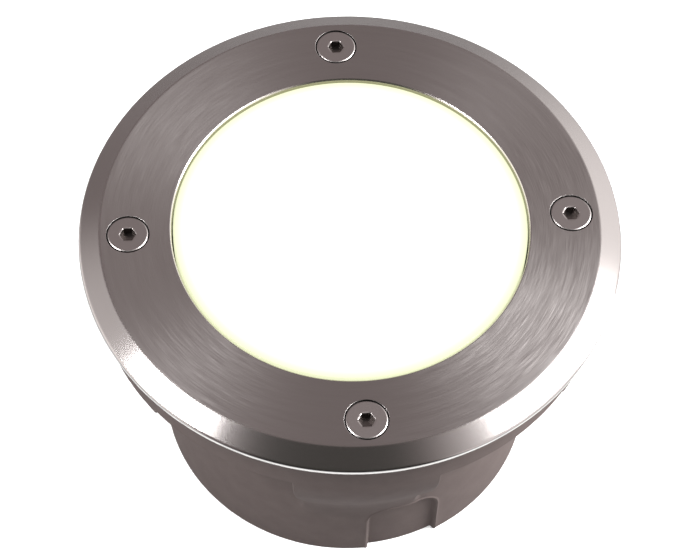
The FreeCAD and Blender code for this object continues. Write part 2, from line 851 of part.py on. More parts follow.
def driver_lid():
    body = new_body("driver_lid")
    half = s.driver_length / 2
    raised(body, "plate", z.floor + s.driver_height - s.driver_lid_thickness, s.driver_lid_thickness,
           outlines=[rectangle(p.driver_left, p.driver_right, -half, half)])
    return body


def board_level():
    return z.floor + s.driver_wall + s.driver_board_rise


def driver_board():
    """Circuit board on four moulded feet that belong to it."""
    body = new_body("driver_board")
    inset = s.driver_wall + s.driver_board_clearance
    half = s.driver_length / 2 - inset
    left = p.driver_left + inset
    right = p.driver_right - inset
    raised(body, "board", board_level(), s.board_thickness, outlines=[rectangle(left, right, -half, half)])
    step = s.driver_foot_inset
    feet = [(x, y) for x in (left + step, right - step) for y in (step - half, half - step)]
    raised(body, "feet", z.floor + s.driver_wall, s.driver_board_rise,
           circles=[(s.driver_foot_radius, at) for at in feet])
    return body


def driver_transformer():
    body = new_body("driver_transformer")
    half = s.transformer_length / 2
    left = p.driver_left + s.transformer_inset
    raised(body, "core", board_level() + s.board_thickness, s.transformer_height,
           outlines=[rectangle(left, left + s.transformer_width, -half, half)])
    return body


def driver_capacitor():
    body = new_body("driver_capacitor")
    x = p.driver_left + s.transformer_inset + s.capacitor_radius
    y = s.driver_length / 2 - s.driver_wall - s.capacitor_margin - s.capacitor_radius
    raised(body, "can", board_level() + s.board_thickness, s.capacitor_height,
           circles=[(s.capacitor_radius, (x, y))])
    return body


def driver_screws():
    ears = [(p.driver_mid, side * ear_centre()) for side in (-1, 1)]
    return screw_group("driver_screws", ears, z.floor + s.ear_thickness,
                       s.ear_thickness + s.cup_floor / 2 - s.small_tip_gap)


# ---------------------------------------------------------------- terminal block and earth

def block_screw():
    """The fixing screw stands between the first two poles."""
    return (p.poles[0] + s.terminal_pitch / 2, p.block_back - s.terminal_depth / 2)


def clamp_screw_places():
    middle = p.block_back - s.terminal_depth / 2
    offset = s.clamp_screw_spacing / 2
    return [(x, middle + side * offset) for x in p.poles for side in (-1, 1)]


def terminal_block():
    body = new_body("terminal_block")
    raised(body, "block", p.block_low, s.terminal_height,
           outlines=[rectangle(p.block_left, p.block_right, p.block_front, p.block_back)])
    bores = outline_sketch(body, "bores", [], [(s.clamp_radius, (x, p.pole_height)) for x in p.poles],
                           plane="XZ_Plane", offset=-p.block_front)
    feature(body, "Pocket", "pole_bores", bores, Length=s.terminal_depth)
    sunk(body, "screw_wells", p.block_low + s.terminal_height, s.terminal_height - s.clamp_drop,
         circles=[(s.clamp_screw_radius + s.clamp_well_clearance, at) for at in clamp_screw_places()])
    sunk(body, "fixing_hole", p.block_low + s.terminal_height, s.terminal_height,
         circles=[(r.tapped, block_screw())])
    return body


def terminal_clamps():
    """Three brass sleeves, one for each pole."""
    body = new_body("terminal_clamps")
    rings = [(radius, (x, p.pole_height)) for x in p.poles for radius in (s.clamp_radius, s.clamp_bore)]
    sketch = outline_sketch(body, "sleeves", [], rings, plane="XZ_Plane",
                            offset=-(p.block_front + s.clamp_inset))
    feature(body, "Pad", "sleeve", sketch, Length=s.terminal_depth - 2 * s.clamp_inset, Reversed=True)
    sunk(body, "threads", p.pole_height + s.clamp_radius, s.clamp_radius,
         circles=[(s.clamp_screw_radius, at) for at in clamp_screw_places()])
    return body


def terminal_screws():
    """Six grub screws that press the conductors in their sleeves."""
    body = new_body("terminal_screws")
    low = p.pole_height + s.mains_wire_radius
    length = s.terminal_height - s.clamp_drop - s.mains_wire_radius - s.clamp_screw_sink
    places = clamp_screw_places()
    raised(body, "grubs", low, length, circles=[(s.clamp_screw_radius, at) for at in places])
    half = s.small_slot_width / 2
    reach = s.clamp_screw_radius
    slots = [rectangle(x - reach, x + reach, y - half, y + half) for x, y in places]
    sunk(body, "slots", low + length, s.small_slot_depth, outlines=slots)
    return body


def terminal_fixing_screw():
    seat = p.block_low + s.terminal_height
    return screw_group("terminal_fixing_screw", [block_screw()], seat,
                       s.terminal_height + s.terminal_rise - s.small_tip_gap, head=s.fixing_head_radius)


def earth_lug():
    """Ring terminal on the earth post, with its crimp barrel towards the terminal block."""
    body = new_body("earth_lug")
    low = z.floor + s.earth_post_height
    at = (s.earth_x, s.earth_y)
    raised(body, "ring", low, s.lug_thickness, circles=[(s.earth_post_radius, at), (r.tapped, at)])
    barrel = s.mains_wire_radius + s.barrel_clearance
    rings = [(barrel + s.lug_thickness, (s.earth_x, barrel_height())), (barrel, (s.earth_x, barrel_height()))]
    sketch = outline_sketch(body, "barrel_ring", [], rings, plane="XZ_Plane", offset=-barrel_start())
    feature(body, "Pad", "barrel", sketch, Length=s.barrel_length, Reversed=True)
    return body


def barrel_height():
    return z.floor + s.earth_post_height + s.lug_thickness + s.mains_wire_radius + s.barrel_rise


def barrel_start():
    return s.earth_y + s.earth_post_radius - s.barrel_overlap


def earth_screw():
    seat = z.floor + s.earth_post_height + s.lug_thickness
    return screw_group("earth_screw", [(s.earth_x, s.earth_y)], seat,
                       s.lug_thickness + s.earth_post_height - s.small_tip_gap)


# ---------------------------------------------------------------- internal wires

def rounded_path(points, bends):
    """Straight runs joined by tangent arcs, one bend radius for each inner point."""
    edges = []
    start = points[0]
    for corner, after, radius in zip(points[1:-1], points[2:], bends):
        arriving = (corner - start).normalize()
        leaving = (after - corner).normalize()
        turn = arriving.getAngle(leaving)
        reach = radius * math.tan(turn / 2)
        entry = corner - arriving * reach
        leave = corner + leaving * reach
        inward = (leaving - arriving).normalize()
        middle = corner + inward * (radius / math.cos(turn / 2) - radius)
        edges.append(Part.LineSegment(start, entry).toShape())
        edges.append(Part.Arc(entry, middle, leave).toShape())
        start = leave
    edges.append(Part.LineSegment(start, points[-1]).toShape())
    return Part.Wire(edges)


def wire(name, points, radius, bends):
    """Insulated wire of round section along its route."""
    corners = [vector(point) for point in points]
    path = rounded_path(corners, [bend.number for bend in bends])
    along = (corners[1] - corners[0]).normalize()
    section = Part.Wire(Part.Circle(corners[0], along, radius.number).toShape())
    solid = path.makePipeShell([section], True, False)
    tube = doc.addObject("Part::Feature", name)
    tube.Label = name
    tube.Shape = solid
    tube.Placement = FreeCAD.Placement()
    expected = math.pi * radius.number ** 2 * path.Length
    print(f"{name}: bends {[round(bend.number, 2) for bend in bends]}, volume {solid.Volume / expected:.4f}")
    return tube


def mains_wire(name, pole_x, entry):
    """From a clamp sleeve towards the front, then sideways into the driver."""
    route = [
        (pole_x, p.block_front + s.wire_entry, p.pole_height),
        (pole_x, entry, p.pole_height),
        (p.driver_right - s.driver_wall, entry, p.pole_height),
    ]
    return wire(name, route, s.mains_wire_radius, [s.mains_bend_share * (pole_x - p.driver_right)])


def earth_wire():
    """From the third pole past the gland to the crimp barrel."""
    route = [
        (p.poles[2], p.block_front + s.wire_entry, p.pole_height),
        (p.poles[2], p.block_front / 2, p.pole_height),
        (s.earth_x, p.block_front / -2, barrel_height()),
        (s.earth_x, barrel_start() + s.crimp_margin, barrel_height()),
    ]
    return wire("wire_earth", route, s.mains_wire_radius, [s.earth_bend, s.earth_bend])


def led_wire(name, side):
    """Out of the driver, up through the wire hole and over into the plug; side 0 or 1."""
    y = led_entries()[side]
    route = [
        (p.driver_right - s.driver_wall, y, p.pole_height),
        (p.hole_x, y, p.pole_height),
        (p.hole_x, y, plug_wire_height()),
        (p.hole_x - s.plug_gap - s.plug_wire_depth, y, plug_wire_height()),
    ]
    return wire(name, route, s.led_wire_radius, [s.led_low_bend, s.led_high_bend])


# ---------------------------------------------------------------- cable gland

def gland_body():
    """Threaded stub through the cup's floor, a hexagon and a lower thread for the dome nut."""
    body = new_body("gland_body")
    stub = s.gland_washer_thickness + s.gland_boss_height + s.cup_floor + s.lock_nut_height + s.stub_margin
    raised(body, "lower_thread", z.lower_thread, s.lower_thread_length,
           circles=[(s.lower_thread_radius, (0, 0)), (s.gland_bore, (0, 0))])
    raised(body, "hexagon", z.hex_low, s.gland_hex_height,
           outlines=[hexagon(s.gland_flats)], circles=[(s.gland_bore, (0, 0))])
    raised(body, "stub", z.washer_low, stub, circles=[(s.gland_radius, (0, 0)), (s.gland_stop_bore, (0, 0))])
    place(body, x=p.gland)
    return body


def gland_washer():
    body = washer_ring("gland_washer", r.gland_hole, s.gland_radius + s.gland_washer_margin,
                       z.washer_low, s.gland_washer_thickness)
    place(body, x=p.gland)
    return body


def gland_lock_nut():
    body = new_body("gland_lock_nut")
    raised(body, "nut", z.floor, s.lock_nut_height,
           outlines=[hexagon(s.gland_flats)], circles=[(r.gland_hole, (0, 0))])
    place(body, x=p.gland)
    return body


def gland_seal():
    """Rubber sleeve that the dome nut squeezes round the cable."""
    body = washer_ring("gland_seal", s.seal_bore, s.gland_bore - s.seal_wall_gap,
                       z.lower_thread, s.lower_thread_length + s.gland_hex_height)
    place(body, x=p.gland)
    return body


def gland_nut():
    """Dome nut with a six-sided grip and a rounded mouth."""
    body = new_body("gland_nut")
    height = z.hex_low - z.dome_low - s.dome_gap
    raised(body, "grip", z.dome_low, height, outlines=[hexagon(s.dome_flats)])
    sunk(body, "thread", z.dome_low + height, height - s.dome_end,
         circles=[(s.lower_thread_radius + s.gland_clearance, (0, 0))])
    sunk(body, "mouth", z.dome_low + height, height, circles=[(s.dome_bore, (0, 0))])
    place(body, x=p.gland)
    return body


# ---------------------------------------------------------------- cover ring and its screws

def cover_ring():
    """Flat steel ring with a broad outer bevel and four countersunk screw holes."""
    body = new_body("cover_ring")
    turned(body, "ring", [
        (s.window_radius, z.cover),
        (r.cover - s.rim_chamfer, z.cover),
        (r.cover, z.cover + s.rim_chamfer),
        (r.cover, z.top - s.bevel_drop),
        (r.cover_flat, z.top),
        (s.window_radius + s.window_chamfer, z.top),
        (s.window_radius, z.top - s.window_chamfer),
    ])
    sketch = new_sketch(body, "hole_centres", plane="XY_Plane", offset=z.top)
    for centre in square_points(r.screws):
        draw_circle(sketch, r.screw_hole, centre)
    doc.recompute()
    hole = feature(body, "Hole", "screw_holes", sketch)
    hole.DepthType = "ThroughAll"
    hole.setExpression("Diameter", (2 * r.screw_hole).text)
    hole.HoleCutType = "Countersink"
    hole.HoleCutCustomValues = True
    hole.setExpression("HoleCutDiameter", (2 * r.countersink).text)
    hole.HoleCutCountersinkAngle = 90
    return body


def screw_washers():
    """Thin retaining washers under the ring that keep the loosened screws on it."""
    body = new_body("screw_washers")
    places = square_points(r.screws)
    bore = s.screw_radius + s.insert_clearance
    rings = [(radius, at) for at in places for radius in (s.washer_radius, bore)]
    raised(body, "washers", z.cover - s.washer_thickness, s.washer_thickness, circles=rings)
    return body


def thread_profile():
    """Side of the screw below the head: plain neck, then one groove for every pitch."""
    root_radius = s.screw_radius - s.thread_depth
    turns = int(((s.screw_length - s.thread_start) / s.thread_pitch).number)
    points = []
    for i in range(turns):
        start = -s.thread_start - i * s.thread_pitch
        points.append((s.screw_radius, start))
        points.append((root_radius, start - s.thread_pitch / 2))
    points.append((root_radius, -s.screw_length))
    return points


def cover_screw(number):
    """Countersunk screw, flush with the ring, with a hexagon socket."""
    body = new_body(f"cover_screw_{number}")
    land = s.screw_head_margin - s.seat_gap
    cone = land + s.screw_head_radius - s.screw_radius
    turned(body, "screw", [
        (0, -s.screw_length),
        (0, 0),
        (s.screw_head_radius, 0),
        (s.screw_head_radius, -land),
        (s.screw_radius, -cone),
        *thread_profile(),
    ])
    sunk(body, "socket", 0, s.socket_depth, outlines=[hexagon(s.socket_flats)])
    x, y = polar_point(r.screws, 90 * (number - 1))
    place(body, x=x, y=y, z=z.top)
    return body


# ---------------------------------------------------------------- build, check and export

def build():
    made = [
        mounting_pot(),
        pot_inserts(),
        lamp_housing(),
        lens_gasket(),
        glass_lens(),
        cover_gasket(),
        diffuser_plate(),
        reflector(),
        heat_spreader(),
        board_disc("thermal_pad", z.pad, s.thermal_pad_thickness),
        board_disc("led_board", z.board, s.board_thickness),
        led_chips(),
        led_plug(),
        spreader_screws(),
        board_screws(),
        driver_case(),
        driver_lid(),
        driver_board(),
        driver_transformer(),
        driver_capacitor(),
        driver_screws(),
        terminal_block(),
        terminal_clamps(),
        terminal_screws(),
        terminal_fixing_screw(),
        earth_lug(),
        earth_screw(),
        mains_wire("wire_live", p.poles[0], s.live_entry),
        mains_wire("wire_neutral", p.poles[1], s.neutral_entry),
        earth_wire(),
        led_wire("wire_led_plus", 0),
        led_wire("wire_led_minus", 1),
        gland_body(),
        gland_washer(),
        gland_lock_nut(),
        gland_seal(),
        gland_nut(),
        cover_ring(),
        screw_washers(),
    ]
    made += [cover_screw(number) for number in range(1, SCREW_COUNT + 1)]
    return made


def check(parts):
    for item in doc.Objects:
        if "Invalid" in item.State or "Error" in item.State:
            raise RuntimeError(f"{item.Name} failed: {item.State}")
    for part in parts:
        if part.Shape.isNull() or not part.Shape.isValid() or not part.Shape.Solids:
            raise RuntimeError(f"{part.Label} has no valid solid")


def export(parts):
    os.makedirs("parts", exist_ok=True)
    for part in parts:
        part.Shape.exportStep(f"parts/{part.Label}.step")
        box = part.Shape.BoundBox
        print(f"{part.Label}: {len(part.Shape.Solids)} solid(s), {part.Shape.Volume:.0f} mm3, "
              f"z {box.ZMin:.2f} to {box.ZMax:.2f}")


sub_parts = build()
doc.recompute()
check(sub_parts)
export(sub_parts)
print(f"{len(sub_parts)} sub-parts, total height {z.top.number:.2f}, cover radius {r.cover.number:.2f}")
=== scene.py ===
# %% [markdown]
# # In-ground well light
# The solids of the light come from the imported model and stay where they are. This
# lesson sets up the camera, the studio and the finishes, and works out anew the few
# pieces whose fine edges matter most: the cover ring, its four screws and the pot.

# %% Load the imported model
import json
import math

import bmesh
import bpy
import numpy as np
from mathutils import Matrix, Vector


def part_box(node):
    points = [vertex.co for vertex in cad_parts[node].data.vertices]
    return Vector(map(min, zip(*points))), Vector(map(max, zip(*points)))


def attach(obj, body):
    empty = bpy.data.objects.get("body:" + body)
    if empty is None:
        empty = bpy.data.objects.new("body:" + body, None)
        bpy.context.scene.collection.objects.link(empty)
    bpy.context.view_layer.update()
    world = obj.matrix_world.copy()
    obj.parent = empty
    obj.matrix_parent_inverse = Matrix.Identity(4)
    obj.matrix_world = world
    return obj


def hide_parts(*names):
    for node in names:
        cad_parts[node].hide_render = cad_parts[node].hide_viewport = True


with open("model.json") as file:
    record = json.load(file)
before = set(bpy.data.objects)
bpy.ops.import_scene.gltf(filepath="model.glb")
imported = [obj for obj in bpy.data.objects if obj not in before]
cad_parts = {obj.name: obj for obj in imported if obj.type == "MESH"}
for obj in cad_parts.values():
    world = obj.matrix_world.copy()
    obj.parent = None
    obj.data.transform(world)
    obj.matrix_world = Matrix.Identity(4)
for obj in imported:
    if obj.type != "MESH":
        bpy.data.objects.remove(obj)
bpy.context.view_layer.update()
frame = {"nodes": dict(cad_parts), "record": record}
nodes = frame["nodes"]

# %% [markdown]
# The camera looks down at the light by 57 degrees from 0.62 m away. Its place and its
# three small turns were solved from the edges of the cover and the window and from the
# four screws. The light itself is turned a little to the left in the photograph, which
# the camera takes over, because the solids stay where they are.

# %% Camera
MM = 0.001
COVER_LOW, COVER_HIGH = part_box("cover_ring")
COVER_TOP = COVER_HIGH.z
COVER_RADIUS = COVER_HIGH.x
PHOTO_WIDTH = 700
FOCAL_PIXELS = 2256.1
SENSOR_MM = 36.0
CAMERA_DISTANCE = 8.2842 * COVER_RADIUS
CAMERA_ELEVATION = 0.992177
CAMERA_TURNS = {"Y": -0.000569, "X": 0.025014, "Z": 0.034312}
LIGHT_TURN = 0.097997


def camera_matrix():
    """Image axes seen from the front, turned about Y, X and Z, then swung round the light's axis."""
    back = Vector((0, -math.cos(CAMERA_ELEVATION), math.sin(CAMERA_ELEVATION)))
    right = Vector((1, 0, 0))
    down = right.cross(-back) * -1
    rows = Matrix((right, down, -back))
    for axis, angle in CAMERA_TURNS.items():
        rows = Matrix.Rotation(angle, 3, axis) @ rows
    swing = Matrix.Rotation(LIGHT_TURN, 3, "Z")
    rows = rows @ swing
    place = swing.inverted() @ (back * CAMERA_DISTANCE) + Vector((0, 0, COVER_TOP))
    turned = Matrix((rows[0], -rows[1], -rows[2])).transposed()
    return Matrix.Translation(place) @ turned.to_4x4()


camera_data = bpy.data.cameras.new("camera")
camera_data.sensor_width = SENSOR_MM
camera_data.lens = FOCAL_PIXELS * SENSOR_MM / PHOTO_WIDTH
camera = bpy.data.objects.new("camera", camera_data)
camera.matrix_world = camera_matrix()
bpy.context.scene.collection.objects.link(camera)
bpy.context.scene.camera = camera
bpy.context.scene.view_settings.view_transform = "Standard"
camera_place = tuple(round(value, 4) for value in camera.matrix_world.translation)
print(f"camera at {camera_place}, lens {camera_data.lens:.2f} mm")

# %% [markdown]
# Shader graphs read best as sums. The first class wraps one output socket, so that
# Python's own operators add the Math nodes. The second makes every other node through
# a single method: the type, then the settings, then the values or links.

# %% Shader arithmetic
MIX_FACTOR = 0
MIX_FIRST = 6
MIX_SECOND = 7
MIX_RESULT = 2


class Socket:
    """One output socket; arithmetic on it adds Math nodes."""

    def __init__(self, graph, socket):
        self.graph = graph
        self.socket = socket

    def math(self, operation, *values):
        return self.graph.node("ShaderNodeMath", {"operation": operation}, dict(enumerate(values)))

    def __add__(self, other):
        return self.math("ADD", self, other)

    __radd__ = __add__

    def __sub__(self, other):
        return self.math("SUBTRACT", self, other)

    def __rsub__(self, other):
        return self.math("SUBTRACT", other, self)

    def __mul__(self, other):
        return self.math("MULTIPLY", self, other)

    __rmul__ = __mul__

    def __truediv__(self, other):
        return self.math("DIVIDE", self, other)

    def __rtruediv__(self, other):
        return self.math("DIVIDE", other, self)

    def __pow__(self, other):
        return self.math("POWER", self, other)

    def __abs__(self):
        return self.math("ABSOLUTE", self)

    def smoothstep(self, low, high):
        """0 below low, 1 above high and a soft step between them."""
        return self.graph.node("ShaderNodeMapRange", {"interpolation_type": "SMOOTHSTEP"},
                               {"Value": self, "From Min": low, "From Max": high})


class Graph:
    """A node tree whose nodes all come from one method."""

    def __init__(self, tree):
        self.tree = tree

    def node(self, kind, settings=None, inputs=None, output=0):
        """A node of that type: its settings first, then the values and links of its sockets."""
        made = self.tree.nodes.new(kind)
        for key, value in (settings or {}).items():
            if key == "stops":
                fill_ramp(made.color_ramp, value)
            else:
                setattr(made, key, value)
        for key, value in (inputs or {}).items():
            if isinstance(value, Socket):
                self.tree.links.new(value.socket, made.inputs[key])
            else:
                made.inputs[key].default_value = value
        return Socket(self, made.outputs[output]) if made.outputs else made

    def parts(self, vector):
        split = self.node("ShaderNodeSeparateXYZ", inputs={"Vector": vector}).socket.node
        return [Socket(self, split.outputs[axis]) for axis in "XYZ"]

    def join(self, x, y, z):
        return self.node("ShaderNodeCombineXYZ", inputs={"X": x, "Y": y, "Z": z})

    def vector(self, operation, *values, output=0, **inputs):
        sockets = {**dict(enumerate(values)), **inputs}
        return self.node("ShaderNodeVectorMath", {"operation": operation}, sockets, output)

    def noise(self, vector, scale, detail=2.0, roughness=0.5):
        inputs = {"Vector": vector, "Scale": scale, "Detail": detail, "Roughness": roughness}
        return self.node("ShaderNodeTexNoise", inputs=inputs, output="Fac")

    def mix(self, factor, first, second):
        """Between two colours: the first at factor 0, the second at factor 1."""
        sockets = {MIX_FACTOR: factor, MIX_FIRST: opaque(first), MIX_SECOND: opaque(second)}
        return self.node("ShaderNodeMix", {"data_type": "RGBA"}, sockets, MIX_RESULT)

    def bump(self, height, distance):
        return self.node("ShaderNodeBump", inputs={"Height": height, "Distance": distance})


class Finish(Graph):
    """A material with one principled shader, whose constant values are given by name."""

    def __init__(self, name, **constants):
        self.material = bpy.data.materials.new(name)
        self.material.use_nodes = True
        super().__init__(self.material.node_tree)
        self.shader = self.tree.nodes["Principled BSDF"]
        for key, value in constants.items():
            self.shader.inputs[key.replace("_", " ")].default_value = value

    def feed(self, **links):
        """Link sockets to the principled shader's inputs."""
        for key, value in links.items():
            self.tree.links.new(value.socket, self.shader.inputs[key.replace("_", " ")])
        return self

    def place(self):
        """Object coordinates, which on these pieces are the frame's metres."""
        return self.node("ShaderNodeTexCoord", output="Object")


def fill_ramp(ramp, stops):
    while len(ramp.elements) < len(stops):
        ramp.elements.new(1.0)
    for element, (place, color) in zip(ramp.elements, stops):
        element.position = place
        element.color = opaque(color)


def opaque(color):
    return color if isinstance(color, Socket) else (*color, 1.0)


print("shader helpers ready")

# %% [markdown]
# The studio is plain: a pale floor, a soft world and three softboxes. The floor is
# duller to light than it is to the camera, so that it throws little white back onto
# the pot, and it glows a little, so that the camera sees it as white.

# %% Floor
WHITE = (0.9, 0.9, 0.9)
DULL = (0.36, 0.36, 0.36)
SEEN_GLOW = (0.42, 0.42, 0.42)
MIRRORED_GLOW = (0.45, 0.45, 0.45)
NO_GLOW = (0.0, 0.0, 0.0)
FLOOR_REACH = 6.0


def add_floor():
    """A square round the light, whose glow and colour depend on the kind of ray."""
    mesh = bpy.data.meshes.new("floor")
    corners = [(-1, -1), (1, -1), (1, 1), (-1, 1)]
    mesh.from_pydata([(x * FLOOR_REACH, y * FLOOR_REACH, 0) for x, y in corners], [], [(0, 1, 2, 3)])
    floor = bpy.data.objects.new("floor", mesh)
    bpy.context.scene.collection.objects.link(floor)
    finish = Finish("floor_white", Roughness=0.9, Specular_IOR_Level=0.0, Emission_Strength=1.0)
    seen = finish.node("ShaderNodeLightPath", output="Is Camera Ray")
    mirrored = finish.node("ShaderNodeLightPath", output="Is Glossy Ray")
    glow = finish.mix(mirrored, NO_GLOW, MIRRORED_GLOW)
    finish.feed(Emission_Color=finish.mix(seen, glow, SEEN_GLOW))
    finish.feed(Base_Color=finish.mix(seen, DULL, WHITE))
    mesh.materials.append(finish.material)
    return floor


add_floor()
print("floor ready")

# %% [markdown]
# Metal lives from what it mirrors, so the world looks different to glossy rays. The
# room behind the camera is dark, and darkest low down, which the front of the bevel
# mirrors. It grows bright to the right and far to the left, and the rest is a plain
# warm grey. The camera itself sees white.

# %% World
SKY = (0.46, 0.46, 0.46)
ROOM = (0.385, 0.324, 0.318)
BRIGHT_SIDE = (2.2, 2.12, 2.08)
DARK_FRONT = (0.105, 0.101, 0.092)
LOW_FRONT = (0.0, 0.0, 0.0)
SEEN_WHITE = (1.0, 1.0, 1.0)
DARK_LEFT = 0.38
DARK_RIGHT = 0.22
DARK_SPREAD = 0.40
DARK_EDGE = 0.10
DARK_TIP = 0.93
BEHIND_EDGE = 0.12
RIGHT_RISE = (0.22, 0.80)
LEFT_RISE = (-0.72, -0.85)
FRONT_RISE = (0.2, 0.6)


def build_world():
    """One colour per kind of ray: grey to diffuse rays, the room to glossy ones, white to the camera."""
    world = bpy.data.worlds.new("studio")
    world.use_nodes = True
    bpy.context.scene.world = world
    graph = Graph(world.node_tree)
    graph.tree.nodes.clear()
    x, y, z = graph.parts(graph.node("ShaderNodeTexCoord", output="Generated"))
    middle = (DARK_RIGHT - DARK_LEFT) / 2
    half = (DARK_TIP - z) * DARK_SPREAD + (DARK_LEFT + DARK_RIGHT) / 2
    beside = (abs(x - middle) - half).smoothstep(-DARK_EDGE, DARK_EDGE)
    behind = (y + BEHIND_EDGE).smoothstep(-BEHIND_EDGE, BEHIND_EDGE)
    room = graph.mix(x.smoothstep(*RIGHT_RISE), ROOM, BRIGHT_SIDE)
    room = graph.mix(x.smoothstep(*LEFT_RISE), room, BRIGHT_SIDE)
    front = graph.mix(z.smoothstep(*FRONT_RISE), LOW_FRONT, DARK_FRONT)
    room = graph.mix(beside.math("MAXIMUM", beside, behind), front, room)
    glossy = graph.node("ShaderNodeLightPath", output="Is Glossy Ray")
    seen = graph.node("ShaderNodeLightPath", output="Is Camera Ray")
    color = graph.mix(seen, graph.mix(glossy, SKY, room), SEEN_WHITE)
    background = graph.node("ShaderNodeBackground", inputs={"Color": color})
    graph.node("ShaderNodeOutputWorld", inputs={"Surface": background})


build_world()
print("world ready")

# %% [markdown]
# Two softboxes hang above the light at its left and right, and a third stands low at
# the right, where it reaches the side of the pot. Each is placed by its direction from
# the middle of the cover and rolled about it, because the bevel mirrors its outline.

# %% Softboxes
AIM = Vector((0, 0, COVER_TOP))
LAMP_DISTANCE = 1.2


def softbox(name, direction, roll, width, height, watts):
    """A rectangular lamp, width by height in metres, that faces the middle of the cover."""
    data = bpy.data.lights.new(name, "AREA")
    data.shape = "RECTANGLE"
    data.size = width
    data.size_y = height
    data.energy = watts
    lamp = bpy.data.objects.new(name, data)
    toward = Vector(direction).normalized()
    facing = toward.to_track_quat("Z", "Y").to_matrix() @ Matrix.Rotation(math.radians(roll), 3, "Z")
    lamp.matrix_world = Matrix.Translation(AIM + toward * LAMP_DISTANCE) @ facing.to_4x4()
    bpy.context.scene.collection.objects.link(lamp)


softbox("softbox_left", (-0.632, -0.128, 0.765), 37, 0.41, 0.36, 12.8)
softbox("softbox_right", (0.685, -0.01, 0.73), -37, 0.80, 0.42, 21.5)
softbox("softbox_low", (0.96, 0.02, 0.27), 0, 0.4, 0.4, 10.0)
print("softboxes ready")

# %% [markdown]
# Brushed steel is a field of fine grooves that run round the axis. They blur what the
# ring mirrors across the grooves and hardly along them, which the shader's constant
# anisotropy gives, turned by a quarter because the grooves follow the circle. On top
# of that every few grooves tip a little more than their neighbours, so one stretched
# noise, quick along the radius and slow round it, leans the normal along the radius.
# The bevel is turned more finely than the flat and shows next to no grooves.

# %% Brushed steel
STEEL = (0.355, 0.335, 0.33)
SHADED_STEEL = (0.012, 0.011, 0.011)
POLISHED_STEEL_AND_PAINTED_GLOW = (0.50, 0.48, 0.42)
RIM_PAINTED_HIGHLIGHT = (0.84, 0.83, 0.81)
GROOVE = 0.00022
STREAK = 9.0
LEAN = 0.12
RING_ROUGHNESS = 0.31
BROAD_PITCH = 6
BROAD_STREAK = 3
FINE_TIP = 2.4
BROAD_TIP = 0.3
FLAT_RISE = (0.985, 0.999)
TONE_DARK = 0.93
TONE_LIGHT = 1.07
FINE_TONE = 0.6
BROAD_TONE = 0.4
BORE_DEPTHS = (0.15 * MM, 0.02 * MM)
BORE_RADII = (49.5 * MM, 49.9 * MM)
HOLES_START = (51.5 * MM, 52 * MM)
HOLES_END = (68 * MM, 68.2 * MM)
HOLE_DEPTHS = (0.05 * MM, 0.005 * MM)
RIM_REACHES = (0.7 * MM, 0.4 * MM)
RIM_DEPTHS = (3.5 * MM, 3.3 * MM)
ROUGHNESS_WANDER = 0.06
HOLE_DULLER = 0.4
BEVEL_FINER = 0.06
EDGE_FINER = 0.11


def sunk_below(height, depths):
    """1 deeper below the cover's top than the first depth, 0 above the second."""
    deep, shallow = depths
    return 1 - height.smoothstep(COVER_TOP - deep, COVER_TOP - shallow)


def brushed_steel(name, color, groove, streak, lean, roughness):
    """Grooves round the axis: groove is their pitch in metres, streak their change round the ring."""
    finish = Finish(name, Metallic=1.0, Anisotropic=0.75, Anisotropic_Rotation=0.25)
    x, y, z = finish.parts(finish.place())
    radius = (x * x + y * y) ** 0.5
    across, along = x / radius, y / radius
    fine = finish.noise(finish.join(radius / groove, across * streak, along * streak), 1.0, detail=1.0)
    slow_across, slow_along = across * streak / BROAD_STREAK, along * streak / BROAD_STREAK
    broad = finish.noise(finish.join(radius / (groove * BROAD_PITCH), slow_across, slow_along), 1.0)
    tip = (fine - 0.5) * FINE_TIP + (broad - 0.5) * BROAD_TIP
    normal = finish.node("ShaderNodeNewGeometry", output="Normal")
    flat = finish.parts(normal)[2].smoothstep(*FLAT_RISE)
    push = finish.vector("SCALE", finish.join(across, along, 0.0), Scale=tip * flat * lean)
    leaning = finish.vector("NORMALIZE", finish.vector("ADD", normal, push))
    dark = tuple(c * TONE_DARK for c in color)
    light = tuple(min(1.0, c * TONE_LIGHT) for c in color)
    tone = finish.mix((fine * FINE_TONE + broad * BROAD_TONE - 0.5) * flat + 0.5, dark, light)
    beside = radius.smoothstep(*HOLES_START) * (1 - radius.smoothstep(*HOLES_END))
    # The window's bore is partly polished steel and partly painted reflection: its lighter, cream colour
    # stands for the lens's glow mirrored in it.
    bore = sunk_below(z, BORE_DEPTHS) * (1 - radius.smoothstep(*BORE_RADII))
    # Everything sunk below the top between the window and the bevel, that is the countersinks round the
    # screws, takes painted shade: almost black steel stands for the shade in the gap round each head.
    hole = beside * sunk_below(z, HOLE_DEPTHS)
    tone = finish.mix(bore, finish.mix(hole, tone, SHADED_STEEL), POLISHED_STEEL_AND_PAINTED_GLOW)
    # The upright rim below the bevel takes a painted highlight: near-white steel that stands for the
    # bright line the rim mirrors.
    far, near = RIM_REACHES
    edge = radius.smoothstep(COVER_RADIUS - far, COVER_RADIUS - near)
    rim = edge * sunk_below(z, RIM_DEPTHS)
    finish.feed(Base_Color=finish.mix(rim, tone, RIM_PAINTED_HIGHLIGHT), Normal=leaning)
    bevel = 1 - flat
    wandering = (broad - 0.5) * flat * ROUGHNESS_WANDER + roughness
    finish.feed(Roughness=wandering + hole * HOLE_DULLER - bevel * BEVEL_FINER - edge * EDGE_FINER)
    return finish


ring_finish = brushed_steel("ring_steel", STEEL, GROOVE, STREAK, LEAN, RING_ROUGHNESS)
print("brushed steel ready")

# %% [markdown]
# The pieces inside are cast and turned metal, rubber and moulded plastic. Each has a
# cloudy colour, a roughness that wanders a little and a fine grain, so one function
# makes them all from a table: colour, scale of the grain, its depth and the roughness.

# %% Plain metals and mouldings
CLOUD_SIZE = 12


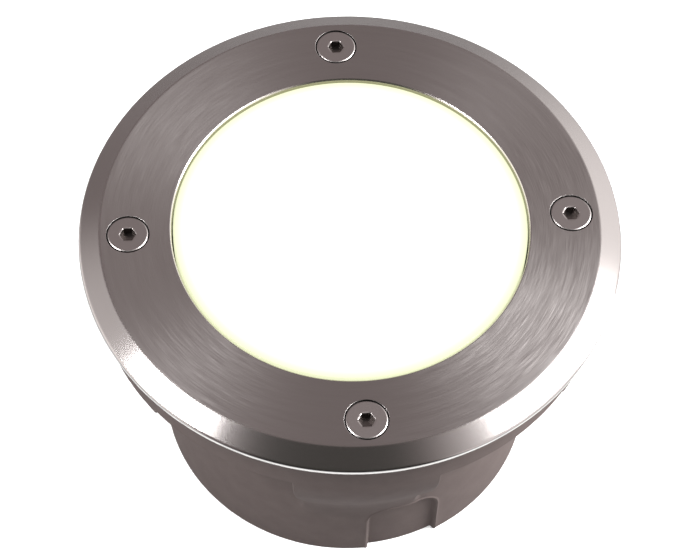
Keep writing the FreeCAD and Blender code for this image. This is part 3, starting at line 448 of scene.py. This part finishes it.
def grained(name, color, scale, depth, change=0.12, wander=0.08, **constants):
    """A finish with cloudy colour, a wandering roughness and a fine grain in the surface."""
    finish = Finish(name, **constants)
    place = finish.place()
    cloud = finish.noise(place, scale / CLOUD_SIZE, detail=3.0)
    grain = finish.noise(place, scale, detail=2.0)
    low = tuple(c * (1 - change) for c in color)
    high = tuple(min(1.0, c * (1 + change)) for c in color)
    finish.feed(Base_Color=finish.mix(cloud, low, high))
    finish.feed(Roughness=(grain - 0.5) * wander * 2 + constants.get("Roughness", 0.5))
    finish.feed(Normal=finish.bump(grain, depth))
    return finish


METALS = {
    "zinc_steel": ((0.62, 0.62, 0.60), 2500, 0.000005, 0.28),
    "insert_brass": ((0.62, 0.46, 0.20), 2500, 0.000006, 0.30),
    "clamp_brass": ((0.60, 0.47, 0.22), 2500, 0.000006, 0.26),
    "tinned_copper": ((0.58, 0.56, 0.53), 2500, 0.000005, 0.30),
    "plain_aluminium": ((0.66, 0.66, 0.67), 1800, 0.000006, 0.34),
    "cast_aluminium": ((0.46, 0.46, 0.46), 1400, 0.00003, 0.50),
}
MOULDINGS = {
    "seal_rubber": ((0.030, 0.030, 0.030), 1500, 0.00001, 0.70),
    "opal_plastic": ((0.88, 0.87, 0.80), 900, 0.000004, 0.40),
    "reflector_white": ((0.85, 0.85, 0.83), 900, 0.000003, 0.22),
    "thermal_rubber": ((0.35, 0.38, 0.42), 1500, 0.00001, 0.75),
    "board_white": ((0.80, 0.80, 0.78), 1200, 0.000004, 0.30),
    "plug_white": ((0.75, 0.73, 0.66), 1200, 0.000005, 0.40),
    "driver_black": ((0.045, 0.045, 0.050), 1600, 0.00002, 0.45),
    "board_green": ((0.03, 0.16, 0.06), 1200, 0.000005, 0.30),
    "transformer_yellow": ((0.62, 0.45, 0.08), 900, 0.000006, 0.32),
    "capacitor_sleeve": ((0.03, 0.04, 0.10), 900, 0.000003, 0.25),
    "block_cream": ((0.72, 0.68, 0.56), 1000, 0.000005, 0.32),
    "wire_brown": ((0.14, 0.055, 0.03), 900, 0.000003, 0.32),
    "wire_blue": ((0.03, 0.12, 0.45), 900, 0.000003, 0.32),
    "wire_green": ((0.05, 0.30, 0.06), 900, 0.000003, 0.32),
    "wire_red": ((0.45, 0.02, 0.02), 900, 0.000003, 0.32),
    "wire_black": ((0.02, 0.02, 0.02), 900, 0.000003, 0.32),
    "gland_plastic": ((0.05, 0.05, 0.05), 1600, 0.00001, 0.42),
    "nylon": ((0.70, 0.69, 0.64), 1500, 0.000008, 0.45),
}
finishes = {"ring_steel": ring_finish}
for name, (color, scale, depth, roughness) in METALS.items():
    finishes[name] = grained(name, color, scale, depth, Metallic=1.0, Roughness=roughness)
for name, (color, scale, depth, roughness) in MOULDINGS.items():
    finishes[name] = grained(name, color, scale, depth, Roughness=roughness)
print(f"{len(finishes)} finishes")

# %% [markdown]
# The screws are turned from plain stainless steel. Their faces carry a faint grain
# that has no direction. The metal is shaded darker down the socket, where little light
# gets in.

# %% Screw steel
SCREW_DARK = (0.365, 0.34, 0.335)
SCREW_LIGHT = (0.385, 0.36, 0.355)
SOCKET_PAINTED_SHADE = (0.13, 0.115, 0.11)
SOCKET_SHADE_DEPTHS = (0.9 * MM, 0.05 * MM)
SCREW_GRAIN = 2500
SCREW_ROUGHNESS = 0.30
SCREW_WANDER = 0.04


def screw_steel():
    """The plain grain of the head, with a socket that is darker the deeper it goes."""
    finish = Finish("screw_steel", Metallic=1.0)
    place = finish.place()
    grain = finish.noise(place, SCREW_GRAIN, detail=2.0)
    depth = sunk_below(finish.parts(place)[2], SOCKET_SHADE_DEPTHS)
    face = finish.mix(grain, SCREW_DARK, SCREW_LIGHT)
    # Down the socket the face's colour fades into painted shade.
    finish.feed(Base_Color=finish.mix(depth, face, SOCKET_PAINTED_SHADE))
    finish.feed(Roughness=(grain - 0.5) * SCREW_WANDER + SCREW_ROUGHNESS)
    return finish


finishes["screw_steel"] = screw_steel()
print("screw steel ready")

# %% [markdown]
# The pot is a warm grey moulding with a fine matt grain. It has hardly any gloss, so
# the light changes softly from side to side and next to nothing is mirrored in it.

# %% Pot plastic
POT_GREY = (0.150, 0.121, 0.115)
POT_GRAIN = 2200
POT_GRAIN_DEPTH = 0.00002
POT_GLOSS = 0.04


def pot_plastic():
    """Warm grey moulding with a fine matt grain and faint clouds, and little gloss."""
    finish = grained("pot_plastic", POT_GREY, POT_GRAIN, POT_GRAIN_DEPTH, Roughness=0.65)
    finish.shader.inputs["Specular IOR Level"].default_value = POT_GLOSS
    return finish


finishes["pot_plastic"] = pot_plastic()
print("pot plastic ready")

# %% [markdown]
# The lamp is on. The frosted lens is evenly white, and only its last few millimetres
# turn cream and then yellow-green, where the thick glass shows its own tint. The glow
# is therefore a ramp over the distance from the axis. The glass itself is kept dark,
# so that the studio's light adds little to the glow.

# %% Glowing glass
LENS_RADIUS = 0.0489
FROST_SCALE = 4000
FROST_DEPTH = 0.000003
FROST_DARK = (0.14, 0.15, 0.11)
FROST_LIGHT = (0.18, 0.19, 0.14)


def glowing_glass():
    """A glow that is a ramp over the distance from the axis, on dark frosted glass."""
    finish = Finish("frosted_glass", Roughness=0.25, Emission_Strength=1.0)
    place = finish.place()
    x, y = finish.parts(place)[:2]
    radius = (x * x + y * y) ** 0.5
    stops = [
        (0.0, (1.0, 1.0, 1.0)),
        (0.90, (1.0, 1.0, 0.97)),
        (0.94, (0.95, 0.95, 0.82)),
        (0.97, (0.80, 0.82, 0.58)),
        (1.0, (0.62, 0.64, 0.41)),
    ]
    glow = finish.node("ShaderNodeValToRGB", {"stops": stops}, {"Fac": radius / LENS_RADIUS}, "Color")
    frost = finish.noise(place, FROST_SCALE, detail=1.0)
    finish.feed(Emission_Color=glow, Base_Color=finish.mix(frost, FROST_DARK, FROST_LIGHT))
    finish.feed(Normal=finish.bump(frost, FROST_DEPTH))
    return finish


def chip_phosphor():
    """The yellow cover of the light chips, which glows too."""
    finish = grained("chip_phosphor", (0.80, 0.62, 0.18), 1500, 0.000004, Roughness=0.35)
    finish.shader.inputs["Emission Color"].default_value = opaque((0.9, 0.8, 0.45))
    finish.shader.inputs["Emission Strength"].default_value = 1.0
    return finish


finishes["frosted_glass"] = glowing_glass()
finishes["chip_phosphor"] = chip_phosphor()
print("glowing finishes ready")

# %% [markdown]
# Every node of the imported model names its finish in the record, so one loop dresses
# them all. The new pieces further down take theirs by the same names.

# %% Dress the nodes
slot_of = {part["node"]: part["material_slot"] for part in frame["record"]["subparts"]}
for name, node in nodes.items():
    node.data.materials.clear()
    node.data.materials.append(finishes[slot_of[name]].material)
print(f"{len(slot_of)} nodes dressed with {len(set(slot_of.values()))} finishes")

# %% [markdown]
# The new pieces are grids of points: one profile carried round an axis, or a patch
# between two outlines. A profile is a list of corners (radius, height, rounding).
# Every corner is rounded by a small curve, and a point just before and just after it
# keeps the flats flat when the mesh is shaded smooth.

# %% Surfaces from grids
CURVE_STEPS = 5
HOLD = 0.6
WELD = 0.0005 * MM


def rounded(corners):
    """Points of a profile whose corners are parabolas tangent to both runs, each held by near points."""
    corners = np.array(corners, float)
    share = np.linspace(0, 1, CURVE_STEPS)[:, None]
    points = [corners[:1, :2]]
    for before, (*corner, reach), after in zip(corners[:-2], corners[1:-1], corners[2:]):
        corner = np.array(corner)
        back = (before[:2] - corner) / np.linalg.norm(before[:2] - corner)
        ahead = (after[:2] - corner) / np.linalg.norm(after[:2] - corner)
        start, end = corner + back * reach, corner + ahead * reach
        curve = start * (1 - share) ** 2 + corner * 2 * share * (1 - share) + end * share ** 2
        points += [[start + back * reach * HOLD], curve, [end + ahead * reach * HOLD]]
    return np.vstack([*points, corners[-1:, :2]])


def turned(profile, angles):
    """Point (radius cos angle, radius sin angle, height) for each point of the profile and each angle."""
    radius, height = profile[:, :1], profile[:, 1:]
    return np.stack([radius * np.cos(angles), radius * np.sin(angles), height + 0 * angles], axis=-1)


def grid_faces(rows, columns, start):
    """Quads of a grid whose columns close on themselves, numbered from start."""
    row, column = np.mgrid[0:rows - 1, 0:columns]
    beside = (column + 1) % columns
    corners = [row * columns + column, row * columns + beside,
               (row + 1) * columns + beside, (row + 1) * columns + column]
    return (np.stack(corners, axis=-1).reshape(-1, 4) + start).tolist()


def make_piece(name, grids, body, node, slot, sharp=None):
    """Weld the grids into one closed mesh whose faces point outwards, and hang it on its body."""
    points, faces = [], []
    for grid in grids:
        faces += grid_faces(grid.shape[0], grid.shape[1], sum(len(part) for part in points))
        points.append(grid.reshape(-1, 3))
    mesh = bpy.data.meshes.new(name)
    mesh.from_pydata(np.vstack(points).tolist(), [], faces)
    shape = bmesh.new()
    shape.from_mesh(mesh)
    bmesh.ops.remove_doubles(shape, verts=shape.verts, dist=WELD)
    bmesh.ops.dissolve_degenerate(shape, edges=shape.edges, dist=WELD)
    bmesh.ops.recalc_face_normals(shape, faces=shape.faces)
    open_edges = sum(len(edge.link_faces) != 2 for edge in shape.edges)
    shape.to_mesh(mesh)
    shape.free()
    mesh.shade_smooth()
    if sharp:
        mesh.set_sharp_from_angle(angle=math.radians(sharp))
    mesh.materials.append(finishes[slot].material)
    piece = bpy.data.objects.new(name, mesh)
    bpy.context.scene.collection.objects.link(piece)
    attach(piece, body)
    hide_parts(node)
    print(f"{name}: {len(mesh.polygons)} faces, {open_edges} open edges")
    return piece


print("surface helpers ready")

# %% [markdown]
# The cover ring is cut from thick plate: a flat, a broad bevel, a narrow upright rim
# and four countersinks. Around its walls the profile is simply turned. The flats have
# the holes in them, so each quarter of a flat is a patch between the hole and the
# quarter's outline, blended in angle and radius, where that outline is a rectangle.

# %% Cover ring
WINDOW_RADIUS = 49.3 * MM
WINDOW_CHAMFER = 0.4 * MM
BEVEL_WIDTH = 6.0 * MM
BEVEL_DROP = 3.1 * MM
RIM_CHAMFER = 0.3 * MM
COUNTERSINK = 6.0 * MM
SCREW_HOLE = 3.3 * MM
HOLE_EDGE = 0.06 * MM
HOLE_FLAT = 2.5 * HOLE_EDGE
WINDOW_FLAT = 2.5 * WINDOW_CHAMFER
BEVEL_FLAT = 3 * WINDOW_CHAMFER
BEVEL_ROUNDING = 0.35 * MM
RIM_ROUNDING = 0.6 * MM
RIM_CHAMFER_ROUNDING = 0.12 * MM
WINDOW_ROUNDING = 0.15 * MM
WINDOW_FOOT_ROUNDING = 0.2 * MM
QUARTER_STEPS = 90
SEAM_STEPS = 8
CORNER_TURN = 76
FLAT_BLEND = np.array([1.0, 0.7, 0.4, 0.15, 0.03])
screw_low, screw_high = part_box("cover_screw_1")
SCREW_CIRCLE = (screw_low.x + screw_high.x) / 2
HEAD_RADIUS = (screw_high.x - screw_low.x) / 2


def quarter_loops(inner, outer, turn):
    """Outline of a quarter as (angle, radius), with the angle round the hole for each point."""
    knots = np.cumsum([0, QUARTER_STEPS, SEAM_STEPS, QUARTER_STEPS, SEAM_STEPS])
    step = np.arange(knots[-1])
    half = math.pi / 4
    angle = np.interp(step, knots, [-half, half, half, -half, -half]) + turn
    radius = np.interp(step, knots, [outer, outer, inner, inner, outer])
    corners = [-CORNER_TURN, CORNER_TURN, 180 - CORNER_TURN, 180 + CORNER_TURN, 360 - CORNER_TURN]
    around = np.interp(step, knots, corners)
    return angle, radius, np.radians(around)


def holed_quarter(inner, outer, turn, profile):
    """The flat from the outline to the hole, the hole's profile, and the lower flat back out."""
    angle, radius, around = quarter_loops(inner, outer, turn)
    reach = profile[:, :1]
    x, y = SCREW_CIRCLE + reach * np.cos(around), reach * np.sin(around)
    hole_angle, hole_radius = np.arctan2(y, x) + turn, np.hypot(x, y)
    height = profile[:, 1:]

    def flat(row, blend):
        share = blend[:, None]
        angles = hole_angle[row] * (1 - share) + angle * share
        radii = hole_radius[row] * (1 - share) + radius * share
        return angles, radii, height[row] + 0 * share

    rows = [flat(0, FLAT_BLEND), (hole_angle, hole_radius, height), flat(-1, FLAT_BLEND[::-1])]
    angles, radii, heights = [
        np.vstack([np.broadcast_to(row[i], (len(row[0]), len(angle))) for row in rows])
        for i in range(3)
    ]
    return np.stack([radii * np.cos(angles), radii * np.sin(angles), heights], axis=-1)


def cover_ring():
    """Four holed quarters, the turned bevel and rim outside them and the turned window inside."""
    low, top = COVER_LOW.z, COVER_TOP
    flat_edge = COVER_RADIUS - BEVEL_WIDTH
    inner, outer = WINDOW_RADIUS + WINDOW_FLAT, flat_edge - BEVEL_FLAT
    depth = COUNTERSINK - SCREW_HOLE
    hole = rounded([
        (COUNTERSINK + HOLE_FLAT, top, 0),
        (COUNTERSINK, top, HOLE_EDGE),
        (SCREW_HOLE, top - depth, HOLE_EDGE),
        (SCREW_HOLE, low, HOLE_EDGE),
        (SCREW_HOLE + HOLE_FLAT, low, 0),
    ])
    quarters = [holed_quarter(inner, outer, turn * math.pi / 2, hole) for turn in range(4)]
    angles = np.radians(np.arange(4 * QUARTER_STEPS) * 90 / QUARTER_STEPS - 45)
    rim = rounded([
        (outer, top, 0),
        (flat_edge, top, BEVEL_ROUNDING),
        (COVER_RADIUS, top - BEVEL_DROP, RIM_ROUNDING),
        (COVER_RADIUS, low + RIM_CHAMFER, RIM_CHAMFER_ROUNDING),
        (COVER_RADIUS - RIM_CHAMFER, low, RIM_CHAMFER_ROUNDING),
        (outer, low, 0),
    ])
    window = rounded([
        (inner, top, 0),
        (WINDOW_RADIUS + WINDOW_CHAMFER, top, WINDOW_ROUNDING),
        (WINDOW_RADIUS, top - WINDOW_CHAMFER, WINDOW_ROUNDING),
        (WINDOW_RADIUS, low, WINDOW_FOOT_ROUNDING),
        (inner, low, 0),
    ])
    grids = [*quarters, turned(rim, angles), turned(window, angles)]
    return make_piece("ring", grids, "cover", "cover_ring", "ring_steel")


cover_ring()

# %% [markdown]
# The screws are countersunk, with a narrow chamfer round the head's face and a hexagon
# socket that has a small funnel at its mouth. One grid does it all: from the middle of
# the socket's floor out and up its walls, over the head and its chamfer, down the
# cone, along the thread and in to the middle of the tip. A row has a hexagon's share
# and a circle's share in its radius, and the thread is a groove whose depth depends on
# the height less the angle.

# %% Cover screws
SOCKET_FLATS = 4.0 * MM
SOCKET_DEPTH = 2.4 * MM
SOCKET_FUNNEL = 2.36 * MM
HEAD_LAND = 0.2 * MM
HEAD_EDGE = 0.06 * MM
HEAD_TRIM = 0.1 * MM
HEAD_CHAMFER = 0.28 * MM
CHAMFER_DROP = 0.14 * MM
SHANK_RADIUS = 2.95 * MM
THREAD_START = 6.0 * MM
THREAD_PITCH = 1.0 * MM
THREAD_DEPTH = 0.5 * MM
SCREW_STEPS = 96
ROWS_PER_TURN = 8
FLOOR_HOLD = 0.9
WALL_HOLD = 0.97
FUNNEL_STEP = 0.05 * MM
FUNNEL_HOLD = 3
FUNNEL_START = 2.2
FACE_HOLD = 1.1
CONE_ROUNDING = HEAD_EDGE * 3
TIP_HOLD = 0.7
THREAD_RUNOUT = 0.9
SCREW_SHARP = 28


def screw_rows(length):
    """Rows of the screw below its top: the socket's half flats, the circle's radius and the depth."""
    flats = SOCKET_FLATS / 2
    socket = [
        (0, 0, SOCKET_DEPTH),
        (flats * FLOOR_HOLD, 0, SOCKET_DEPTH),
        (flats, 0, SOCKET_DEPTH),
        (flats, 0, SOCKET_DEPTH * WALL_HOLD),
        (flats, 0, FUNNEL_STEP * FUNNEL_HOLD),
        (flats, 0, FUNNEL_STEP * FUNNEL_START),
        (0, SOCKET_FUNNEL, 0),
    ]
    cone = HEAD_LAND + HEAD_RADIUS - SHANK_RADIUS
    head = rounded([
        (SOCKET_FUNNEL * FACE_HOLD, 0, 0),
        (HEAD_RADIUS - HEAD_TRIM - HEAD_CHAMFER, 0, HEAD_EDGE),
        (HEAD_RADIUS - HEAD_TRIM, CHAMFER_DROP, HEAD_EDGE / 2),
        (SHANK_RADIUS, cone, CONE_ROUNDING),
        (SHANK_RADIUS, THREAD_START, 0),
    ])
    turns = round((length - THREAD_START) / THREAD_PITCH)
    depths = np.linspace(THREAD_START, length - THREAD_PITCH, (turns - 1) * ROWS_PER_TURN + 1)[1:]
    shank = [(0, SHANK_RADIUS, depth) for depth in depths]
    root = SHANK_RADIUS - THREAD_DEPTH
    tip = [
        (0, root, length - THREAD_DEPTH),
        (0, root - THREAD_DEPTH, length),
        (0, root * TIP_HOLD, length),
        (0, 0, length),
    ]
    return np.array([*socket, *[(0, *point) for point in head], *shank, *tip])


def screw_grid(number):
    """Radius = hexagon share / cos(angle within a sixth) + circle share - groove, round its axis."""
    low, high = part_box(f"cover_screw_{number}")
    length = high.z - low.z
    rows = screw_rows(length)
    hexagon, circle, depth = rows[:, :1], rows[:, 1:2], rows[:, 2:]
    angle = np.arange(SCREW_STEPS) * 2 * math.pi / SCREW_STEPS
    sixth = math.pi / 3
    radius = hexagon / np.cos(angle % sixth - sixth / 2) + circle
    phase = (depth / THREAD_PITCH - angle / (2 * math.pi)) % 1
    run_in = np.clip((depth - THREAD_START) / THREAD_PITCH, 0, 1)
    inside = run_in * (depth < length - THREAD_PITCH * THREAD_RUNOUT)
    radius = radius - THREAD_DEPTH * (1 - abs(2 * phase - 1)) * inside
    x = (low.x + high.x) / 2 + radius * np.cos(angle)
    y = (low.y + high.y) / 2 + radius * np.sin(angle)
    return np.stack([x, y, high.z - depth + 0 * angle], axis=-1)


for number in range(1, 5):
    body = f"screw_{number}"
    make_piece(body, [screw_grid(number)], body, f"cover_{body}", "screw_steel", SCREW_SHARP)

# %% [markdown]
# The pot is one moulding: a tube, a collar with two lower stretches at its sides, four
# gussets that run from the collar down into the tube, and two arched knock-outs, each
# with a small bead along its edge. Its outer radius is worked out as a formula of angle
# and height: tube + gusset - arch + bead. The points stand close together only where
# the radius changes quickly.

# %% Pot
POT_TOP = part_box("mounting_pot")[1].z
COLLAR_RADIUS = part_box("mounting_pot")[1].x
COLLAR_BORE = 68.5 * MM
TUBE_RADIUS = 55.2 * MM
TUBE_BORE = 52.6 * MM
SHELF_TOP = 75.35 * MM
SHELF_LOW = 72.35 * MM
SIDE_STEP = 1.4 * MM
SIDE_STEP_HALF = math.radians(39)
GUSSET_HEIGHT = 52 * MM
GUSSET_HALF = math.radians(17.5)
GUSSET_EDGE = math.radians(3.0)
ARCH_AZIMUTH = math.radians(-90 + 13.7)
ARCH_HALF = 10.5 * MM
ARCH_HEIGHT = 24.5 * MM
ARCH_CORNER = 7.0 * MM
ARCH_DEPTH = 1.4 * MM
ARCH_SLOPE = 0.5 * MM
ARCH_BEAD = 0.28 * MM
BEAD_HALF = 0.45 * MM
POT_EDGE = 0.35 * MM
FINE_STEP = math.radians(0.3)
COARSE_STEP = math.radians(2.0)
FULL_TURN = 2 * math.pi
SIDE_POINTS = 7
STEP_POINTS = 2
PAST_TURN = 9.0
FINE_ROW = 0.3 * MM
COARSE_ROW = 2 * MM
FINE_ROWS_END = ARCH_HEIGHT + 2.5 * BEAD_HALF
COARSE_ROWS_START = ARCH_HEIGHT + 4 * BEAD_HALF
SHELF_ROWS = (SHELF_LOW - 1.2 * MM, SHELF_LOW - 0.5 * MM, SHELF_LOW)
COLLAR_CURVE = (0, 0.5, 0.85, 1)
FOOT_CURVE = ((1, 0), (0.4, 0.15), (0.1, 0.5))
POT_SHARP = 40


def soft(value):
    """0 below 0, 1 above 1 and a soft step between them."""
    value = np.clip(value, 0, 1)
    return value * value * (3 - 2 * value)


def off_axis(angle, first, count):
    """Signed angle from the nearest of count evenly spaced azimuths."""
    period = 2 * math.pi / count
    return (angle - first + period / 2) % period - period / 2


def pot_angles():
    """Azimuths, close together at the arches, the gussets' sides and the ends of the side steps."""
    coarse = np.arange(0, FULL_TURN, COARSE_STEP)
    reach = (ARCH_HALF + 3 * BEAD_HALF) / TUBE_RADIUS
    arch = np.arange(-reach, reach, FINE_STEP)
    side = np.arange(-SIDE_POINTS, SIDE_POINTS + 1) * FINE_STEP + GUSSET_HALF
    step = np.arange(-STEP_POINTS, STEP_POINTS + 1) * FINE_STEP + SIDE_STEP_HALF
    fine = [arch + ARCH_AZIMUTH + turn * math.pi for turn in range(2)]
    fine += [sign * side + turn * math.pi / 2 for turn in range(4) for sign in (-1, 1)]
    fine += [sign * step + turn * math.pi for turn in range(2) for sign in (-1, 1)]
    fine = np.sort(np.concatenate(fine) % FULL_TURN)
    gap = np.abs((coarse[:, None] - fine + math.pi) % FULL_TURN - math.pi).min(axis=1)
    angles = np.sort(np.concatenate([fine, coarse[gap > FINE_STEP]]))
    return angles[np.diff(angles, append=PAST_TURN) > FINE_STEP / 4]


def gusset(angle, height):
    """1 on the collar's face, 0 on the tube's: an ogee over the height, soft sides over the angle."""
    fall = np.clip((SHELF_LOW - height) / GUSSET_HEIGHT, 0, 1)
    ogee = soft(1 - fall)
    side = (GUSSET_HALF + GUSSET_EDGE / 2 - abs(off_axis(angle, 0, 4))) / GUSSET_EDGE
    return ogee * soft(side)


def arch_distance(angle, height):
    """Distance outside a box with round corners that runs out below, less than 0 inside it."""
    across = TUBE_RADIUS * abs(off_axis(angle, ARCH_AZIMUTH, 2))
    x, y = across - (ARCH_HALF - ARCH_CORNER), height - (ARCH_HEIGHT - ARCH_CORNER)
    return np.hypot(np.maximum(x, 0), np.maximum(y, 0)) + np.minimum(np.maximum(x, y), 0) - ARCH_CORNER


def outer_radius(angle, height):
    """Tube + gusset, less a soft step inside the arch, plus a small bead along the arch's edge."""
    distance = arch_distance(angle, height)
    step = ARCH_DEPTH * soft(-distance / ARCH_SLOPE)
    bead = ARCH_BEAD * soft(1 - abs(distance / BEAD_HALF - 1))
    return TUBE_RADIUS + (COLLAR_RADIUS - TUBE_RADIUS) * gusset(angle, height) - step + bead


def mounting_pot():
    """Rows from the foot up the outside, over the collar's top and down the inside back to the foot."""
    angle = pot_angles()
    heights = np.concatenate([
        np.arange(POT_EDGE, FINE_ROWS_END, FINE_ROW),
        np.arange(COARSE_ROWS_START, SHELF_LOW - COARSE_ROW, COARSE_ROW),
        SHELF_ROWS,
    ])[:, None]
    outside = (outer_radius(angle, heights), heights + 0 * angle)
    foot = outer_radius(angle, POT_EDGE)
    under = outer_radius(angle, SHELF_LOW)
    free = (COLLAR_RADIUS - under) / (COLLAR_RADIUS - TUBE_RADIUS)
    stretch = soft((SIDE_STEP_HALF - abs(off_axis(angle, 0, 2))) / FINE_STEP)
    lower = SHELF_LOW - SIDE_STEP * stretch * soft(free * 2 - 1)
    edge = np.minimum(POT_EDGE, COLLAR_RADIUS - under)
    lip = np.maximum(under, COLLAR_BORE)
    bead = [
        (COLLAR_RADIUS - edge * (1 - share), lower + edge * (1 - math.sqrt(1 - share * share)))
        for share in COLLAR_CURVE
    ]
    collar = [
        (np.minimum(under + POT_EDGE, lip), SHELF_LOW + 0 * angle),
        (lip, SHELF_LOW + 0 * angle),
        (lip, lower),
        (np.maximum(lip, COLLAR_RADIUS - 2 * edge), lower),
        *bead,
        (COLLAR_RADIUS + 0 * angle, SHELF_LOW + 2 * POT_EDGE + 0 * angle),
    ]
    inside = rounded([
        (COLLAR_RADIUS, SHELF_TOP, 0),
        (COLLAR_RADIUS, POT_TOP, POT_EDGE),
        (COLLAR_BORE, POT_TOP, POT_EDGE),
        (COLLAR_BORE, SHELF_TOP, POT_EDGE),
        (TUBE_BORE, SHELF_TOP, POT_EDGE),
        (TUBE_BORE, 0, POT_EDGE),
        (TUBE_RADIUS - ARCH_DEPTH - POT_EDGE, 0, 0),
    ])
    foot_rows = [(foot - POT_EDGE * inward, POT_EDGE * up + 0 * angle) for inward, up in FOOT_CURVE]
    rows = [*foot_rows, *zip(*outside), *collar, *[(r + 0 * angle, h + 0 * angle) for r, h in inside]]
    rows.append(rows[0])
    radius, height = (np.array([row[i] for row in rows]) for i in range(2))
    grid = np.stack([radius * np.cos(angle), radius * np.sin(angle), height], axis=-1)
    return make_piece("pot", [grid], "pot", "mounting_pot", "pot_plastic", POT_SHARP)


mounting_pot()

# %% [markdown]
# Inside the collar four bosses stand on the shelf and hold the brass inserts. Each is
# a small patch with a hole, made as the ring's quarters are, with walls down to the
# shelf.

# %% Pot bosses
BOSS_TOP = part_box("pot_inserts")[1].z
BOSS_HALF = math.radians(6.5)
BOSS_INNER = 55.4 * MM
BOSS_SINK = 0.5 * MM
INSERT_RADIUS = 4.0 * MM
BOSS_STEPS = 14
BOSS_SIDES = 10
WALL_SHARE = 0.03
HOLE_SHARE = 0.95
BOSS_SHARP = 30


def boss_grid(turn):
    """Rows: up the wall from the shelf, over the top in to the hole, and down the hole again."""
    knots = np.cumsum([0, BOSS_STEPS, BOSS_SIDES, BOSS_STEPS, BOSS_SIDES])
    step = np.arange(knots[-1])
    outer = (COLLAR_BORE + COLLAR_RADIUS) / 2
    angle = np.interp(step, knots, [-BOSS_HALF, BOSS_HALF, BOSS_HALF, -BOSS_HALF, -BOSS_HALF])
    radius = np.interp(step, knots, [outer, outer, BOSS_INNER, BOSS_INNER, outer])
    x, y = radius * np.cos(angle), radius * np.sin(angle)
    toward = np.arctan2(y, x - SCREW_CIRCLE)
    hole_x, hole_y = SCREW_CIRCLE + INSERT_RADIUS * np.cos(toward), INSERT_RADIUS * np.sin(toward)
    low = SHELF_TOP - BOSS_SINK
    rows = [
        (0.0, low),
        (0.0, BOSS_TOP - POT_EDGE),
        (WALL_SHARE, BOSS_TOP),
        (WALL_SHARE * 3, BOSS_TOP),
        (HOLE_SHARE, BOSS_TOP),
        (1.0, BOSS_TOP),
        (1.0, BOSS_TOP - POT_EDGE),
        (1.0, low),
        (0.0, low),
    ]
    share = np.array([row[0] for row in rows])[:, None]
    height = np.array([row[1] for row in rows])[:, None] + 0 * x
    x, y = x * (1 - share) + hole_x * share, y * (1 - share) + hole_y * share
    turned_x = x * math.cos(turn) - y * math.sin(turn)
    turned_y = x * math.sin(turn) + y * math.cos(turn)
    return np.stack([turned_x, turned_y, height], axis=-1)


boss_grids = [boss_grid(turn * math.pi / 2) for turn in range(4)]
make_piece("pot_bosses", boss_grids, "pot", "mounting_pot", "pot_plastic", BOSS_SHARP)
